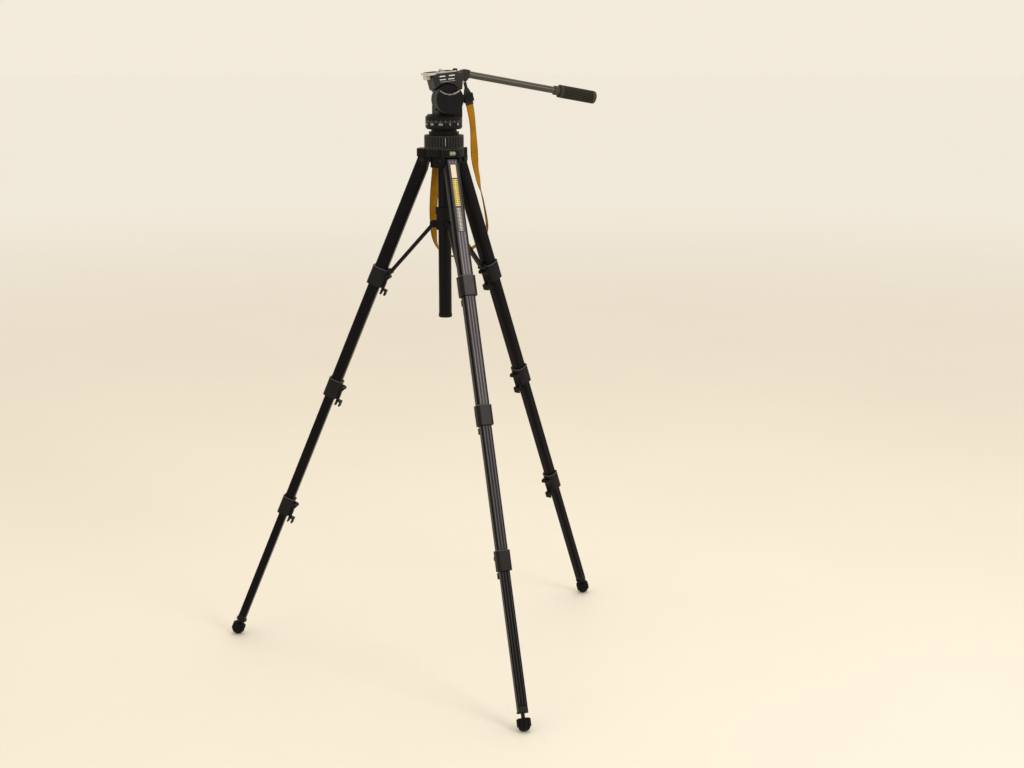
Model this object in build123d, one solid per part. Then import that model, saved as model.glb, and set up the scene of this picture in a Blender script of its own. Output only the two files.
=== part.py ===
from build123d import *
import math
import os

# Three-legged photographic stand with a fluid-effect pan head, a pan handle and a carrying strap.
# Millimetres, +Z up. The origin is on the floor under the centre column.
# The photograph looks along +Y, so +X is to its right.

# Stance
front_leg_azimuth = -72.5
leg_spread = 22.77
hinge_radius = 43.0
sole_reach = 1198.0

# Telescoping leg tubes, outermost first
leg_names = ("front", "right", "left")
tube_depth = 28.0
tube_width = 30.0
tube_wall = 1.2
face_gap = 0.6
side_gap = 0.4
outer_corner = 6.5
inner_corner = 10.0
least_corner = 0.4
tube_overlap = 58.0
head_nose_radius = 9.5
head_length = 22.0
head_face_top = 2.0
head_pocket_gap = 1.0
hinge_bolt_radius = 3.0
bolt_head_radius = 5.2
bolt_head_height = 3.0
running_fit = 0.08

# Leg locks: a collar with a flip lever on the side that faces the column
lock_tops = (256.0, 532.0, 834.0)
lock_length = 42.0
lock_seat_length = 24.0
lock_wall = 3.5
seat_gap = 0.1
slide_gap = 0.3
lever_drop = 14.0
lever_standoff = 5.0
lever_half_width = 7.0
lever_barrel_radius = 4.2
lever_pin_radius = 2.0
lever_plate = 4.0
lever_lift = 0.5
lever_ear = 3.5
ear_gap = 0.4
ear_radius = 4.6
tab_reach = 12.5
tab_length = 13.0
tab_prong = 3.6

# Feet
foot_radius = 12.5
foot_length = 26.0
sole_round = 9.0
foot_edge = 1.2
foot_neck = 9.0
stud_radius = 4.0
spike_tip_radius = 0.8
spike_length = 12.0
spike_inset = 4.0
spike_end_gap = 1.0
foot_plug_length = 14.0
foot_flange_radius = 12.0
foot_flange_height = 4.0
foot_screw_gap = 0.1
spike_hole_radius = 3.1

# Brace: three struts from a hub that slides on the column
strut_offset = 5.5
strut_drop = 1.0
strut_half_width = 4.2
strut_half_height = 4.0
strut_pin_radius = 2.0
strut_ear = 3.2
strut_ear_gap = 0.5
strut_ear_radius = 5.0
hub_pivot_radius = 25.0
hub_pivot_drop = 146.0
hub_skirt = 12.0
hub_sleeve = 36.0
hub_wall = 4.0
hub_collar_height = 14.0
hub_collar_step = 2.0
hub_ear_gap = 0.7
hub_ear = 3.5
hub_ear_reach = 6.5
hub_ear_height = 15.0
hub_ear_round = 5.5
hub_rivet_radius = 3.2
hub_rivet_height = 1.2
hub_slide_gap = 0.35

# Shoulder casting
shoulder_rise = 7.309
shoulder_thickness = 17.0
shoulder_radius = 42.0
lobe_reach = 57.0
lobe_tip_round = 6.0
cheek_gap = 0.4
cheek_thickness = 4.1
cheek_inner_reach = 32.0
cheek_outer_reach = 54.0
cheek_drop = 11.0
core_radius = 29.5
core_drop = 24.0
collar_neck_radius = 26.0
collar_neck_height = 19.0
bush_wall = 3.0
bush_gap = 0.05
vial_radius = 5.0
vial_length = 16.0
vial_sink = 2.0
lug_reach = 51.0
lug_half_width = 14.5
lug_thickness = 8.0
lug_slot_half_width = 11.5
lug_slot_depth = 4.0
lug_bar = 3.5
lug_lift = 2.0
lug_root = 6.0
lug_round = 3.0

# Column and its lock ring
column_radius = 14.0
column_wall = 1.6
column_drop = 342.0
column_fit = 0.1
cap_radius = 14.7
cap_height = 8.0
cap_plug = 18.0
cap_round = 2.5
ring_radius = 42.5
ring_top_gap = 0.4
ring_lift = 0.4
ring_flutes = 40
flute_radius = 1.7
ring_flute_offset = 0.6
ring_flute_margin = 4.0
ring_edge = 1.5
ring_column_gap = 0.6
platform_radius = 32.5
platform_rise = 29.0
platform_thickness = 6.5
platform_spigot = 20.0
platform_stud_radius = 4.76
platform_stud_length = 10.0

# Pan base and pan housing
head_azimuth = 20.0
base_radius = 27.5
base_thickness = 4.5
spindle_radius = 9.9
spindle_length = 25.0
spindle_end_gap = 0.5
drum_radius = 39.5
drum_height = 32.0
drum_lift = 0.3
drum_bottom_round = 6.0
drum_top_chamfer = 5.5
tilt_axis_rise = 32.0
pedestal_front = -20.0
pedestal_rear = 34.0
pedestal_drop = 13.0
front_cheek_radius = 31.0
front_cheek_inner = -8.2
front_cheek_outer = -26.0
rear_cheek_radius = 17.0
rear_cheek_inner = 9.7
rear_cheek_outer = 22.0
pedestal_round = 4.0
channel_gap = 3.0
pan_knob_rise = 16.0
pan_knob_radius = 9.0
pan_knob_length = 15.0
pan_knob_shaft_radius = 3.0
pan_knob_shaft_depth = 9.0
pan_knob_flutes = 12
pan_knob_flute_radius = 1.3
pan_knob_flute_lift = 5.0
pan_knob_edge = 1.2

# Drag knob on the tilt axle
knob_radius = 31.0
knob_front = -41.0
knob_gap = 0.4
knob_edge = 2.0
knob_flutes = 48
knob_flute_radius = 0.9
knob_flute_length = 8.6
knob_bite_radius = 31.0
knob_bite_depth = 12.5
knob_bite_slope = 3.5
knob_bite_slope_depth = 5.0
knob_clearance = 1.5
axle_radius = 5.0

# Tilting body, in its own level frame around the tilt axis
tilt_at_rest = -5.5
body_front = -27.0
body_rear = 42.0
body_width = 54.0
body_round = 7.0
body_top = 53.0
body_rim = 7.0
body_skirt = 29.0
body_taper = 10.0
front_arch_radius = 34.0
rear_arch_radius = 30.0
tongue_gap = 0.4
tongue_radius = 17.0
tongue_half_length = 16.0
tongue_root = 4.0
rail_width = 3.0
rail_height = 2.6
rail_gap = 0.4
rail_setback = 2.0

# Camera plate, screw and catch
plate_front = -38.0
plate_rear = 28.0
plate_thickness = 4.7
plate_lift = 0.3
lip_thickness = 9.0
lip_half_width = 10.0
lip_drop = 10.0
plate_round = 4.0
screw_position = -1.5
screw_radius = 3.175
screw_stand = 5.5
screw_shoulder_radius = 3.6
screw_head_radius = 8.0
screw_head_height = 2.2
screw_gap = 0.3
screw_slot_half_width = 1.0
screw_slot_depth = 1.0
catch_length = 6.0
catch_gap = 1.0
catch_half_width = 7.0
catch_height = 8.0
catch_round = 1.5

# Handle
handle_start_x = 61.5
handle_start_z = 45.3
handle_slope = 15.56
handle_length = 303.0
handle_radius = 7.5
handle_wall = 1.5
handle_depth = 10.0
handle_end_gap = 0.3
# Side outline of the handle boss: distance behind the body's rear face, height over the tilt axis
boss_outline = (
    (-5.0, 53.0),
    (4.0, 56.5),
    (12.0, 57.5),
    (21.9, 54.1),
    (17.4, 37.9),
    (12.5, 33.5),
    (9.3, 31.2),
    (3.0, 35.0),
    (-6.0, 37.0),
)
boss_half_width = 11.0
boss_round = 3.5
grip_length = 88.0
grip_radius = 14.0
grip_flutes = 22
grip_flute_radius = 1.1
grip_end_plain = 8.0
grip_cap = 4.0
grip_end_round = 4.0
ferrule_length = 12.0
ferrule_radius = 10.0

# Carrying strap
strap_width = 20.0
strap_thickness = 1.6
tab_thickness = 3.0
tab_top_width = 7.0
tab_bottom_width = 21.0
tab_top = (45.4, 16.5, 156.3)
tab_shoulder_share = 0.45
strap_gap = 0.8
# Route from the end tab down the right, behind the legs and up to the lug at the back,
# with heights from the underside of the shoulder
strap_route = (
    (55.0, 20.0, 112.0),
    (60.0, 22.0, 86.0),
    (63.0, 27.0, 58.0),
    (64.5, 36.0, 28.0),
    (66.0, 45.5, -1.0),
    (69.0, 56.0, -29.0),
    (75.0, 70.0, -58.0),
    (82.0, 84.0, -86.0),
    (88.0, 97.0, -116.0),
    (93.0, 108.0, -144.0),
    (95.5, 119.0, -168.0),
    (90.0, 127.0, -190.0),
    (74.0, 127.0, -206.0),
    (52.0, 117.0, -220.0),
    (30.0, 103.0, -229.0),
    (8.0, 89.0, -228.0),
    (-10.0, 80.0, -216.0),
    (-20.0, 73.0, -197.0),
    (-24.0, 67.0, -173.0),
    (-25.0, 62.0, -146.0),
    (-24.5, 58.0, -118.0),
    (-23.0, 55.0, -90.0),
    (-20.0, 52.5, -62.0),
    (-17.5, 50.5, -36.0),
    (-15.5, 48.5, -14.0),
    (-14.7, 47.2, 1.3),
)
# Plan azimuth of the strap's width at even steps along the route, showing its half twist
strap_width_azimuths = (40.0, 54.0, 40.0, 65.0, 95.0, 100.0, 105.0, 110.0, 90.0, 50.0, 30.0, 20.0, 17.5)
strap_sections = 72
strap_bend_share = 0.45

# Sizes that follow from the ones above
spread_angle = math.radians(leg_spread)
sole_centre_reach = sole_reach - sole_round
sole_ring = foot_radius - sole_round
hinge_height = sole_centre_reach * math.cos(spread_angle) + sole_ring * math.sin(spread_angle) + sole_round
leg_azimuths = tuple(front_leg_azimuth + 120.0 * index for index in range(3))
strap_lug_azimuth = front_leg_azimuth + 180.0
lock_bottoms = tuple(top + lock_length for top in lock_tops)
foot_plug_top = sole_reach - foot_length - foot_neck - foot_plug_length
tube_tops = (head_length,) + tuple(bottom - tube_overlap for bottom in lock_bottoms)
tube_ends = tuple(top + lock_seat_length for top in lock_tops) + (foot_plug_top,)
bush_radius = column_radius + column_fit + bush_wall
shoulder_bottom = hinge_height + shoulder_rise
shoulder_top = shoulder_bottom + shoulder_thickness
core_bottom = shoulder_bottom - core_drop
collar_neck_top = shoulder_top + collar_neck_height
hub_pivot_height = shoulder_bottom - hub_pivot_drop
hub_bottom = hub_pivot_height - hub_skirt
hub_top = hub_pivot_height + hub_sleeve
column_bottom = shoulder_bottom - column_drop
platform_bottom = shoulder_top + platform_rise
platform_top = platform_bottom + platform_thickness
ring_top = platform_bottom - ring_top_gap
base_top = platform_top + base_thickness
spindle_top = base_top + spindle_length
drum_top = base_top + drum_height
tilt_axis_height = drum_top + tilt_axis_rise
pedestal_top = tilt_axis_height - pedestal_drop
pan_knob_height = base_top + pan_knob_rise
plate_bottom = body_top + plate_lift
plate_top = plate_bottom + plate_thickness


# Leg frame: origin at the hinge, the leg runs down -Z, +X is the outer face, Y is the width
def on_leg(azimuth):
    return Rot(0, 0, azimuth) * Pos(hinge_radius, 0, hinge_height) * Rot(0, -leg_spread, 0)


# Head frame: origin on the column axis, +X towards the handle, -Y towards the drag knob
def on_head():
    return Rot(0, 0, head_azimuth)


# Tilt frame: origin on the tilt axis, level when the plate is level
def on_tilt():
    return on_head() * Pos(0, 0, tilt_axis_height) * Rot(0, tilt_at_rest, 0)


def tube_size(index):
    depth = tube_depth - 2 * index * (tube_wall + face_gap)
    width = tube_width - 2 * index * (tube_wall + side_gap)
    return depth, width


# Outline of a leg tube, or of a bore or collar that grows from it by the same amount all round
def leg_outline(index, grow=0.0):
    depth, width = tube_size(index)
    step = index * (tube_wall + side_gap)
    shape = Rectangle(depth + 2 * grow, width + 2 * grow)
    shape = fillet(shape.vertices().group_by(Axis.X)[-1], max(outer_corner - step + grow, least_corner))
    return fillet(shape.vertices().group_by(Axis.X)[0], max(inner_corner - step + grow, least_corner))


# Prism down the leg between two reaches from the hinge
def leg_prism(outline, top, bottom):
    return Pos(0, 0, -bottom) * extrude(outline, bottom - top)


# Cylinder along the leg's width through a point of the leg frame
def cross_cylinder(radius, length, x, reach):
    return Pos(x, 0, -reach) * Rot(90, 0, 0) * Cylinder(radius, length)


def leg_box(x_low, x_high, y_low, y_high, reach_top, reach_bottom):
    size = (x_high - x_low, y_high - y_low, reach_bottom - reach_top)
    centre = ((x_high + x_low) / 2, (y_high + y_low) / 2, -(reach_top + reach_bottom) / 2)
    return Pos(*centre) * Box(*size)


def upright_cylinder(radius, bottom, top):
    return Pos(0, 0, (bottom + top) / 2) * Cylinder(radius, top - bottom)


def span_box(low, high):
    size = [high[axis] - low[axis] for axis in range(3)]
    centre = [(high[axis] + low[axis]) / 2 for axis in range(3)]
    return Pos(*centre) * Box(*size)


def inner_face(index):
    return -(tube_size(index)[0] / 2 + lock_wall)


def leg_tube(index):
    outer = leg_prism(leg_outline(index), tube_tops[index], tube_ends[index])
    return outer - leg_prism(leg_outline(index, -tube_wall), tube_tops[index] - 1, tube_ends[index] + 1)


# Upper tube with the solid head that the hinge bolt passes through
def upper_tube():
    depth, width = tube_size(0)
    nose = Circle(head_nose_radius)
    flare = Polygon(
        (-head_nose_radius, 0),
        (-depth / 2, -head_length),
        (depth / 2, -head_length),
        (depth / 2, -head_face_top),
        (head_nose_radius, 0),
        align=None,
    )
    head = extrude(Plane.XZ * (nose + flare), width / 2, both=True)
    head &= leg_prism(leg_outline(0), -head_nose_radius - 1, head_length)
    head -= cross_cylinder(hinge_bolt_radius + running_fit, width + 2, 0, 0)
    return head + leg_tube(0)


# Pair of ears on the column side of a lock, drilled for a pin
def ear_pair(wall, pivot_x, reach, radius, inner_half, thickness, hole):
    plate = Pos(pivot_x, -reach) * Circle(radius)
    arm_length = wall + lock_wall / 2 - pivot_x
    plate += Pos(pivot_x + arm_length / 2, -reach) * Rectangle(arm_length, 2 * radius)
    solid = extrude(Plane.XZ * plate, inner_half + thickness, both=True)
    slot_half = radius + 1
    solid -= leg_box(pivot_x - slot_half, wall, -inner_half, inner_half, reach - slot_half, reach + slot_half)
    if hole:
        solid -= cross_cylinder(hole, 2 * (inner_half + thickness) + 1, pivot_x, reach)
    return solid


def strut_pivot():
    return inner_face(0) - strut_offset, lock_tops[0] + strut_drop


def leg_lock(index):
    top = lock_tops[index]
    middle = tube_ends[index]
    bottom = lock_bottoms[index]
    wall = inner_face(index)
    solid = leg_prism(leg_outline(index, lock_wall), top, bottom)
    solid += ear_pair(
        wall, wall - lever_standoff, top + lever_drop, ear_radius,
        lever_half_width + ear_gap, lever_ear, lever_pin_radius + running_fit,
    )
    if index == 0:
        pivot_x, reach = strut_pivot()
        inner_half = strut_half_width + strut_ear_gap
        solid += ear_pair(wall, pivot_x, reach, strut_ear_radius, inner_half, strut_ear, 0)
        solid += cross_cylinder(strut_pin_radius, 2 * inner_half + strut_ear, pivot_x, reach)
    solid -= leg_prism(leg_outline(index, seat_gap), top - strut_ear_radius - 1, middle)
    return solid - leg_prism(leg_outline(index + 1, slide_gap), middle - 1, bottom + 1)


# Flip lever with its pin, lying closed along the lock
def leg_lever(index):
    wall = inner_face(index)
    pivot_x = wall - lever_standoff
    reach = lock_tops[index] + lever_drop
    bottom = lock_bottoms[index]
    half = lever_half_width
    solid = cross_cylinder(lever_barrel_radius, 2 * half, pivot_x, reach)
    pin_length = 2 * (half + ear_gap + lever_ear)
    solid += cross_cylinder(lever_pin_radius, pin_length, pivot_x, reach)
    outer = wall - lever_lift - lever_plate
    solid += leg_box(outer, wall - lever_lift, -half, half, reach, bottom + 1)
    tab_end = bottom + 1 + tab_length
    tab_low = wall - lever_lift - tab_reach
    solid += leg_box(tab_low, wall - lever_lift, -half, half, bottom + 1, tab_end)
    notch_low = tab_low + tab_prong
    notch_high = wall - lever_lift - tab_prong
    return solid - leg_box(notch_low, notch_high, -half - 1, half + 1, bottom + 1 + tab_prong, tab_end + 1)


# Plug in the end of the lowest tube with the threaded stud and its ground spike
def foot_spike():
    plug_end = foot_plug_top + foot_plug_length
    tip = sole_reach - spike_inset
    plug = leg_prism(leg_outline(3, -tube_wall - bush_gap), foot_plug_top - foot_plug_length, foot_plug_top)
    plug += leg_prism(leg_outline(3, 0), foot_plug_top, plug_end - foot_flange_height)
    plug += leg_prism(Circle(foot_flange_radius), plug_end - foot_flange_height, plug_end)
    shoulder_end = tip - spike_length
    plug += leg_prism(Circle(stud_radius), plug_end, shoulder_end)
    cone = Cone(stud_radius, spike_tip_radius, spike_length)
    return plug + Pos(0, 0, -(shoulder_end + tip) / 2) * Rot(180, 0, 0) * cone


def rubber_foot():
    top = sole_reach - foot_length
    solid = leg_prism(Circle(foot_radius), top, sole_reach)
    solid = fillet(solid.edges().group_by(Axis.Z)[0], sole_round)
    solid = chamfer(solid.edges().group_by(Axis.Z)[-1], foot_edge)
    bore_end = sole_reach - spike_inset + spike_end_gap
    solid -= leg_prism(Circle(stud_radius + foot_screw_gap), top - 1, bore_end)
    return solid - leg_prism(Circle(spike_hole_radius), bore_end - 1, sole_reach + 1)


# Both ends of a strut in the upright plane of its leg, as radius and height
def strut_ends():
    x, reach = strut_pivot()
    cosine = math.cos(spread_angle)
    sine = math.sin(spread_angle)
    leg_end = (hinge_radius + x * cosine + reach * sine, hinge_height + x * sine - reach * cosine)
    return leg_end, (hub_pivot_radius, hub_pivot_height)


def strut():
    leg_end, hub_end = strut_ends()
    run = (hub_end[0] - leg_end[0], 0, hub_end[1] - leg_end[1])
    length = math.hypot(run[0], run[2])
    plane = Plane(origin=(leg_end[0], 0, leg_end[1]), x_dir=run, z_dir=(0, -1, 0))
    bar = Pos(length / 2, 0) * SlotCenterToCenter(length, 2 * strut_half_height)
    bar -= Circle(strut_pin_radius + running_fit)
    return extrude(plane * bar, strut_half_width, both=True)


# Hub that guides the struts on the column, open at the strut pivots
def brace_hub():
    bore = column_radius + hub_slide_gap
    solid = upright_cylinder(bore + hub_wall, hub_bottom, hub_top)
    solid += upright_cylinder(bore + hub_wall + hub_collar_step, hub_top - hub_collar_height, hub_top)
    inner_half = strut_half_width + hub_ear_gap
    outer_half = inner_half + hub_ear
    low = hub_pivot_height - hub_ear_height / 2
    high = hub_pivot_height + hub_ear_height / 2
    reach = hub_pivot_radius + hub_ear_reach
    for azimuth in leg_azimuths:
        ear = span_box((bore + 1, inner_half, low), (reach, outer_half, high))
        ear = fillet(ear.edges().filter_by(Axis.Y).group_by(Axis.X)[-1], hub_ear_round)
        rivet = Pos(hub_pivot_radius, outer_half + hub_rivet_height / 2, hub_pivot_height)
        ear += rivet * Rot(90, 0, 0) * Cylinder(hub_rivet_radius, hub_rivet_height)
        solid += Rot(0, 0, azimuth) * (ear + mirror(ear, Plane.XZ))
    return solid - upright_cylinder(bore, hub_bottom - 1, hub_top + 1)


# One leg's lobe of the shoulder: a plate and two cheeks drilled for the hinge bolt
def shoulder_lobe():
    inner_half = tube_width / 2 + cheek_gap
    outer_half = inner_half + cheek_thickness
    plate = span_box((0, -outer_half, shoulder_bottom), (lobe_reach, outer_half, shoulder_top))
    plate = fillet(plate.edges().filter_by(Axis.Z).group_by(Axis.X)[-1], lobe_tip_round)
    profile = Pos(hinge_radius, hinge_height) * Circle(cheek_drop)
    web_height = shoulder_bottom + 1 - hinge_height
    web_length = cheek_outer_reach - cheek_inner_reach
    web_centre = (cheek_outer_reach + cheek_inner_reach) / 2
    profile += Pos(web_centre, hinge_height + web_height / 2) * Rectangle(web_length, web_height)
    cheeks = extrude(Plane.XZ * profile, outer_half, both=True)
    cheeks -= span_box((0, -inner_half, core_bottom), (lobe_reach, inner_half, shoulder_bottom))
    bolt_hole = Pos(hinge_radius, 0, hinge_height) * Rot(90, 0, 0)
    bolt_hole *= Cylinder(hinge_bolt_radius + bush_gap, 2 * outer_half + 2)
    return plate + cheeks - bolt_hole


def vial_place():
    reach = lobe_reach - vial_sink
    height = (shoulder_bottom + shoulder_top) / 2
    return Rot(0, 0, front_leg_azimuth) * Pos(reach, 0, height) * Rot(90, 0, 0)


# Eye at the back of the shoulder that holds the strap's lower end
def strap_lug():
    low = shoulder_bottom + lug_lift
    block = span_box(
        (shoulder_radius - lug_root, -lug_half_width, low),
        (lug_reach, lug_half_width, low + lug_thickness),
    )
    block = fillet(block.edges().filter_by(Axis.Z).group_by(Axis.X)[-1], lug_round)
    slot_outer = lug_reach - lug_bar
    slot_low = (slot_outer - lug_slot_depth, -lug_slot_half_width, low - 1)
    return block - span_box(slot_low, (slot_outer, lug_slot_half_width, low + lug_thickness + 1))


def shoulder():
    solid = upright_cylinder(shoulder_radius, shoulder_bottom, shoulder_top)
    solid += upright_cylinder(core_radius, core_bottom, shoulder_bottom + 1)
    for azimuth in leg_azimuths:
        solid += Rot(0, 0, azimuth) * shoulder_lobe()
    inner_half = tube_width / 2 + cheek_gap
    for azimuth in leg_azimuths:
        pocket = Pos(hinge_radius, 0, hinge_height) * Rot(90, 0, 0)
        solid -= Rot(0, 0, azimuth) * pocket * Cylinder(head_nose_radius + head_pocket_gap, 2 * inner_half)
    solid += upright_cylinder(collar_neck_radius, shoulder_top - 1, collar_neck_top)
    solid += Rot(0, 0, strap_lug_azimuth) * strap_lug()
    solid -= upright_cylinder(bush_radius + bush_gap, core_bottom - 1, collar_neck_top + 1)
    return solid - vial_place() * Cylinder(vial_radius + seat_gap, vial_length + 1)


def hinge_bolt():
    half = tube_width / 2 + cheek_gap + cheek_thickness
    shank = Cylinder(hinge_bolt_radius, 2 * half)
    for side in (-1, 1):
        head = Pos(0, 0, side * (half + bolt_head_height / 2)) * Cylinder(bolt_head_radius, bolt_head_height)
        shank += head
    return Pos(hinge_radius, 0, hinge_height) * Rot(90, 0, 0) * shank


def column_bush():
    tube = upright_cylinder(bush_radius, core_bottom, collar_neck_top)
    return tube - upright_cylinder(column_radius + column_fit, core_bottom - 1, collar_neck_top + 1)


def flutes(count, radius, ring, height):
    groove = Pos(ring, 0, 0) * Cylinder(radius, height)
    return [Rot(0, 0, 360.0 * index / count) * groove for index in range(count)]


def column_lock_ring():
    bottom = shoulder_top + ring_lift
    middle = (bottom + ring_top) / 2
    solid = upright_cylinder(ring_radius, bottom, ring_top)
    solid = chamfer(solid.edges().group_by(Axis.Z)[-1], ring_edge)
    cavity_top = collar_neck_top + ring_lift
    solid -= upright_cylinder(collar_neck_radius + column_fit, bottom - 1, cavity_top)
    solid -= upright_cylinder(column_radius + ring_column_gap, bottom - 1, ring_top + 1)
    groove_length = ring_top - bottom - 2 * ring_flute_margin
    grooves = flutes(ring_flutes, flute_radius, ring_radius + ring_flute_offset, groove_length)
    return solid - [Pos(0, 0, middle) * groove for groove in grooves]


def centre_column():
    tube = upright_cylinder(column_radius, column_bottom, platform_bottom)
    return tube - upright_cylinder(column_radius - column_wall, column_bottom - 1, platform_bottom + 1)


def column_end_cap():
    plug = upright_cylinder(column_radius - column_wall - bush_gap, column_bottom, column_bottom + cap_plug)
    cap = upright_cylinder(cap_radius, column_bottom - cap_height, column_bottom)
    return plug + fillet(cap.edges().group_by(Axis.Z)[0], cap_round)


def column_platform():
    disc = upright_cylinder(platform_radius, platform_bottom, platform_top)
    spigot_radius = column_radius - column_wall - bush_gap
    disc += upright_cylinder(spigot_radius, platform_bottom - platform_spigot, platform_bottom)
    return disc + upright_cylinder(platform_stud_radius, platform_top, platform_top + platform_stud_length)


def pan_base():
    disc = upright_cylinder(base_radius, platform_top, base_top)
    disc += upright_cylinder(spindle_radius, base_top, spindle_top)
    stud_hole = upright_cylinder(
        platform_stud_radius + seat_gap, platform_top - 1, platform_top + platform_stud_length + 1
    )
    return disc - stud_hole


# Cylinder along the tilt axis between two places on it, in the head frame
def axle_cylinder(radius, y_low, y_high):
    return Pos(0, (y_low + y_high) / 2, tilt_axis_height) * Rot(90, 0, 0) * Cylinder(radius, y_high - y_low)


# Panning drum with the pedestal and the two cheeks that carry the tilt axle
def pan_housing():
    solid = upright_cylinder(drum_radius, base_top + drum_lift, drum_top)
    solid = fillet(solid.edges().group_by(Axis.Z)[0], drum_bottom_round)
    solid = chamfer(solid.edges().group_by(Axis.Z)[-1], drum_top_chamfer)
    pedestal = span_box(
        (pedestal_front, front_cheek_outer, drum_top - drum_top_chamfer),
        (pedestal_rear, rear_cheek_outer, pedestal_top),
    )
    solid += fillet(pedestal.edges().filter_by(Axis.Z), pedestal_round)
    solid += axle_cylinder(front_cheek_radius, front_cheek_outer, front_cheek_inner)
    solid += axle_cylinder(rear_cheek_radius, rear_cheek_inner, rear_cheek_outer)
    solid += span_box(
        (-rear_cheek_radius, rear_cheek_inner, drum_top - drum_top_chamfer),
        (rear_cheek_radius, rear_cheek_outer, tilt_axis_height),
    )
    channel_floor = tilt_axis_height - tongue_radius - channel_gap
    solid -= span_box(
        (-drum_radius, front_cheek_inner, channel_floor),
        (drum_radius, rear_cheek_inner, tilt_axis_height + front_cheek_radius + 1),
    )
    solid -= axle_cylinder(knob_radius + knob_clearance, -2 * drum_radius, front_cheek_outer)
    solid -= axle_cylinder(axle_radius + running_fit, front_cheek_outer - 1, rear_cheek_outer + 1)
    solid -= upright_cylinder(spindle_radius + running_fit, base_top, spindle_top + spindle_end_gap)
    lock_hole = Pos(0, drum_radius, pan_knob_height) * Rot(90, 0, 0)
    solid -= lock_hole * Cylinder(pan_knob_shaft_radius + running_fit, 2 * (pan_knob_shaft_depth + 1))
    return on_head() * solid


def pan_lock_knob():
    shaft = Pos(0, 0, -pan_knob_shaft_depth / 2) * Cylinder(pan_knob_shaft_radius, pan_knob_shaft_depth)
    head = Pos(0, 0, pan_knob_length / 2 + ring_lift) * Cylinder(pan_knob_radius, pan_knob_length)
    head = chamfer(head.edges().group_by(Axis.Z)[-1], pan_knob_edge)
    grooves = flutes(pan_knob_flutes, pan_knob_flute_radius, pan_knob_radius, pan_knob_length)
    head -= [Pos(0, 0, pan_knob_length / 2 + pan_knob_flute_lift) * groove for groove in grooves]
    head += Pos(0, 0, ring_lift / 2) * Cylinder(pan_knob_shaft_radius, ring_lift)
    return on_head() * Pos(0, drum_radius, pan_knob_height) * Rot(-90, 0, 0) * (shaft + head)


# Round drag knob with a thumb scallop in its rim, in one piece with the tilt axle
def drag_knob():
    back = front_cheek_outer - knob_gap
    length = back - knob_front
    solid = Cylinder(knob_radius, length)
    solid = fillet(solid.edges().group_by(Axis.Z)[-1], knob_edge)
    solid -= flutes(knob_flutes, knob_flute_radius, knob_radius, knob_flute_length)
    bite_centre = knob_bite_depth + knob_bite_radius
    solid -= Pos(0, bite_centre, 0) * Cylinder(knob_bite_radius, length + 2)
    slope = Cone(knob_bite_radius, knob_bite_radius + knob_bite_slope, knob_bite_slope_depth)
    solid -= Pos(0, bite_centre, (length - knob_bite_slope_depth) / 2) * slope
    knob = Pos(0, (back + knob_front) / 2, tilt_axis_height) * Rot(90, 0, 0) * solid
    return on_head() * (knob + axle_cylinder(axle_radius, back - 1, rear_cheek_outer))


# Handle axis in the tilt frame: origin where the tube leaves the boss, +Z out along the tube
def on_handle():
    return Pos(handle_start_x, 0, handle_start_z) * Rot(0, 90 + handle_slope, 0)


def handle_boss():
    outline = Polygon(*[(body_rear + back, height) for back, height in boss_outline], align=None)
    block = extrude(Plane.XZ * outline, boss_half_width, both=True)
    return fillet(block.faces().filter_by(Axis.Y).edges(), boss_round)


# Tilting body: a tapered shell over the cheeks, a tongue on the axle and the boss for the handle
def tilt_body():
    outline = RectangleRounded(body_rear - body_front, body_width, body_round)
    rim_place = Pos((body_front + body_rear) / 2, 0, body_top - body_rim)
    solid = rim_place * extrude(outline, body_rim)
    solid += rim_place * Rot(180, 0, 0) * extrude(outline, body_skirt, taper=body_taper)
    far = body_width
    front_cut = Pos(0, (front_cheek_inner + tongue_gap - far) / 2, 0) * Rot(90, 0, 0)
    solid -= front_cut * Cylinder(front_arch_radius, far + front_cheek_inner + tongue_gap)
    rear_cut = Pos(0, (rear_cheek_inner - tongue_gap + far) / 2, 0) * Rot(90, 0, 0)
    solid -= rear_cut * Cylinder(rear_arch_radius, far - rear_cheek_inner + tongue_gap)
    tongue_width = rear_cheek_inner - front_cheek_inner - 2 * tongue_gap
    tongue_centre = (rear_cheek_inner + front_cheek_inner) / 2
    trim = span_box(
        (-far, tongue_centre - tongue_width / 2, -far),
        (far, tongue_centre + tongue_width / 2, tongue_radius),
    )
    solid -= trim
    tongue = Pos(0, tongue_centre, 0) * Rot(90, 0, 0) * Cylinder(tongue_radius, tongue_width)
    tongue += span_box(
        (-tongue_half_length, tongue_centre - tongue_width / 2, 0),
        (tongue_half_length, tongue_centre + tongue_width / 2, front_arch_radius + tongue_root),
    )
    solid += tongue
    solid += handle_boss()
    for side in (-1, 1):
        inner = body_width / 2 - rail_width
        rail_middle = side * (inner + rail_width / 2)
        rail_end = plate_rear - rail_setback
        rail_length = rail_end - body_front - body_round
        rail = Pos(rail_end - rail_length / 2, rail_middle, body_top + rail_height / 2)
        solid += rail * Box(rail_length, rail_width, rail_height)
    solid -= Rot(90, 0, 0) * Cylinder(axle_radius + running_fit, 2 * far)
    bore_end = -handle_depth - handle_end_gap
    solid -= on_handle() * upright_cylinder(handle_radius + running_fit, bore_end, handle_depth)
    return on_tilt() * solid


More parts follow.
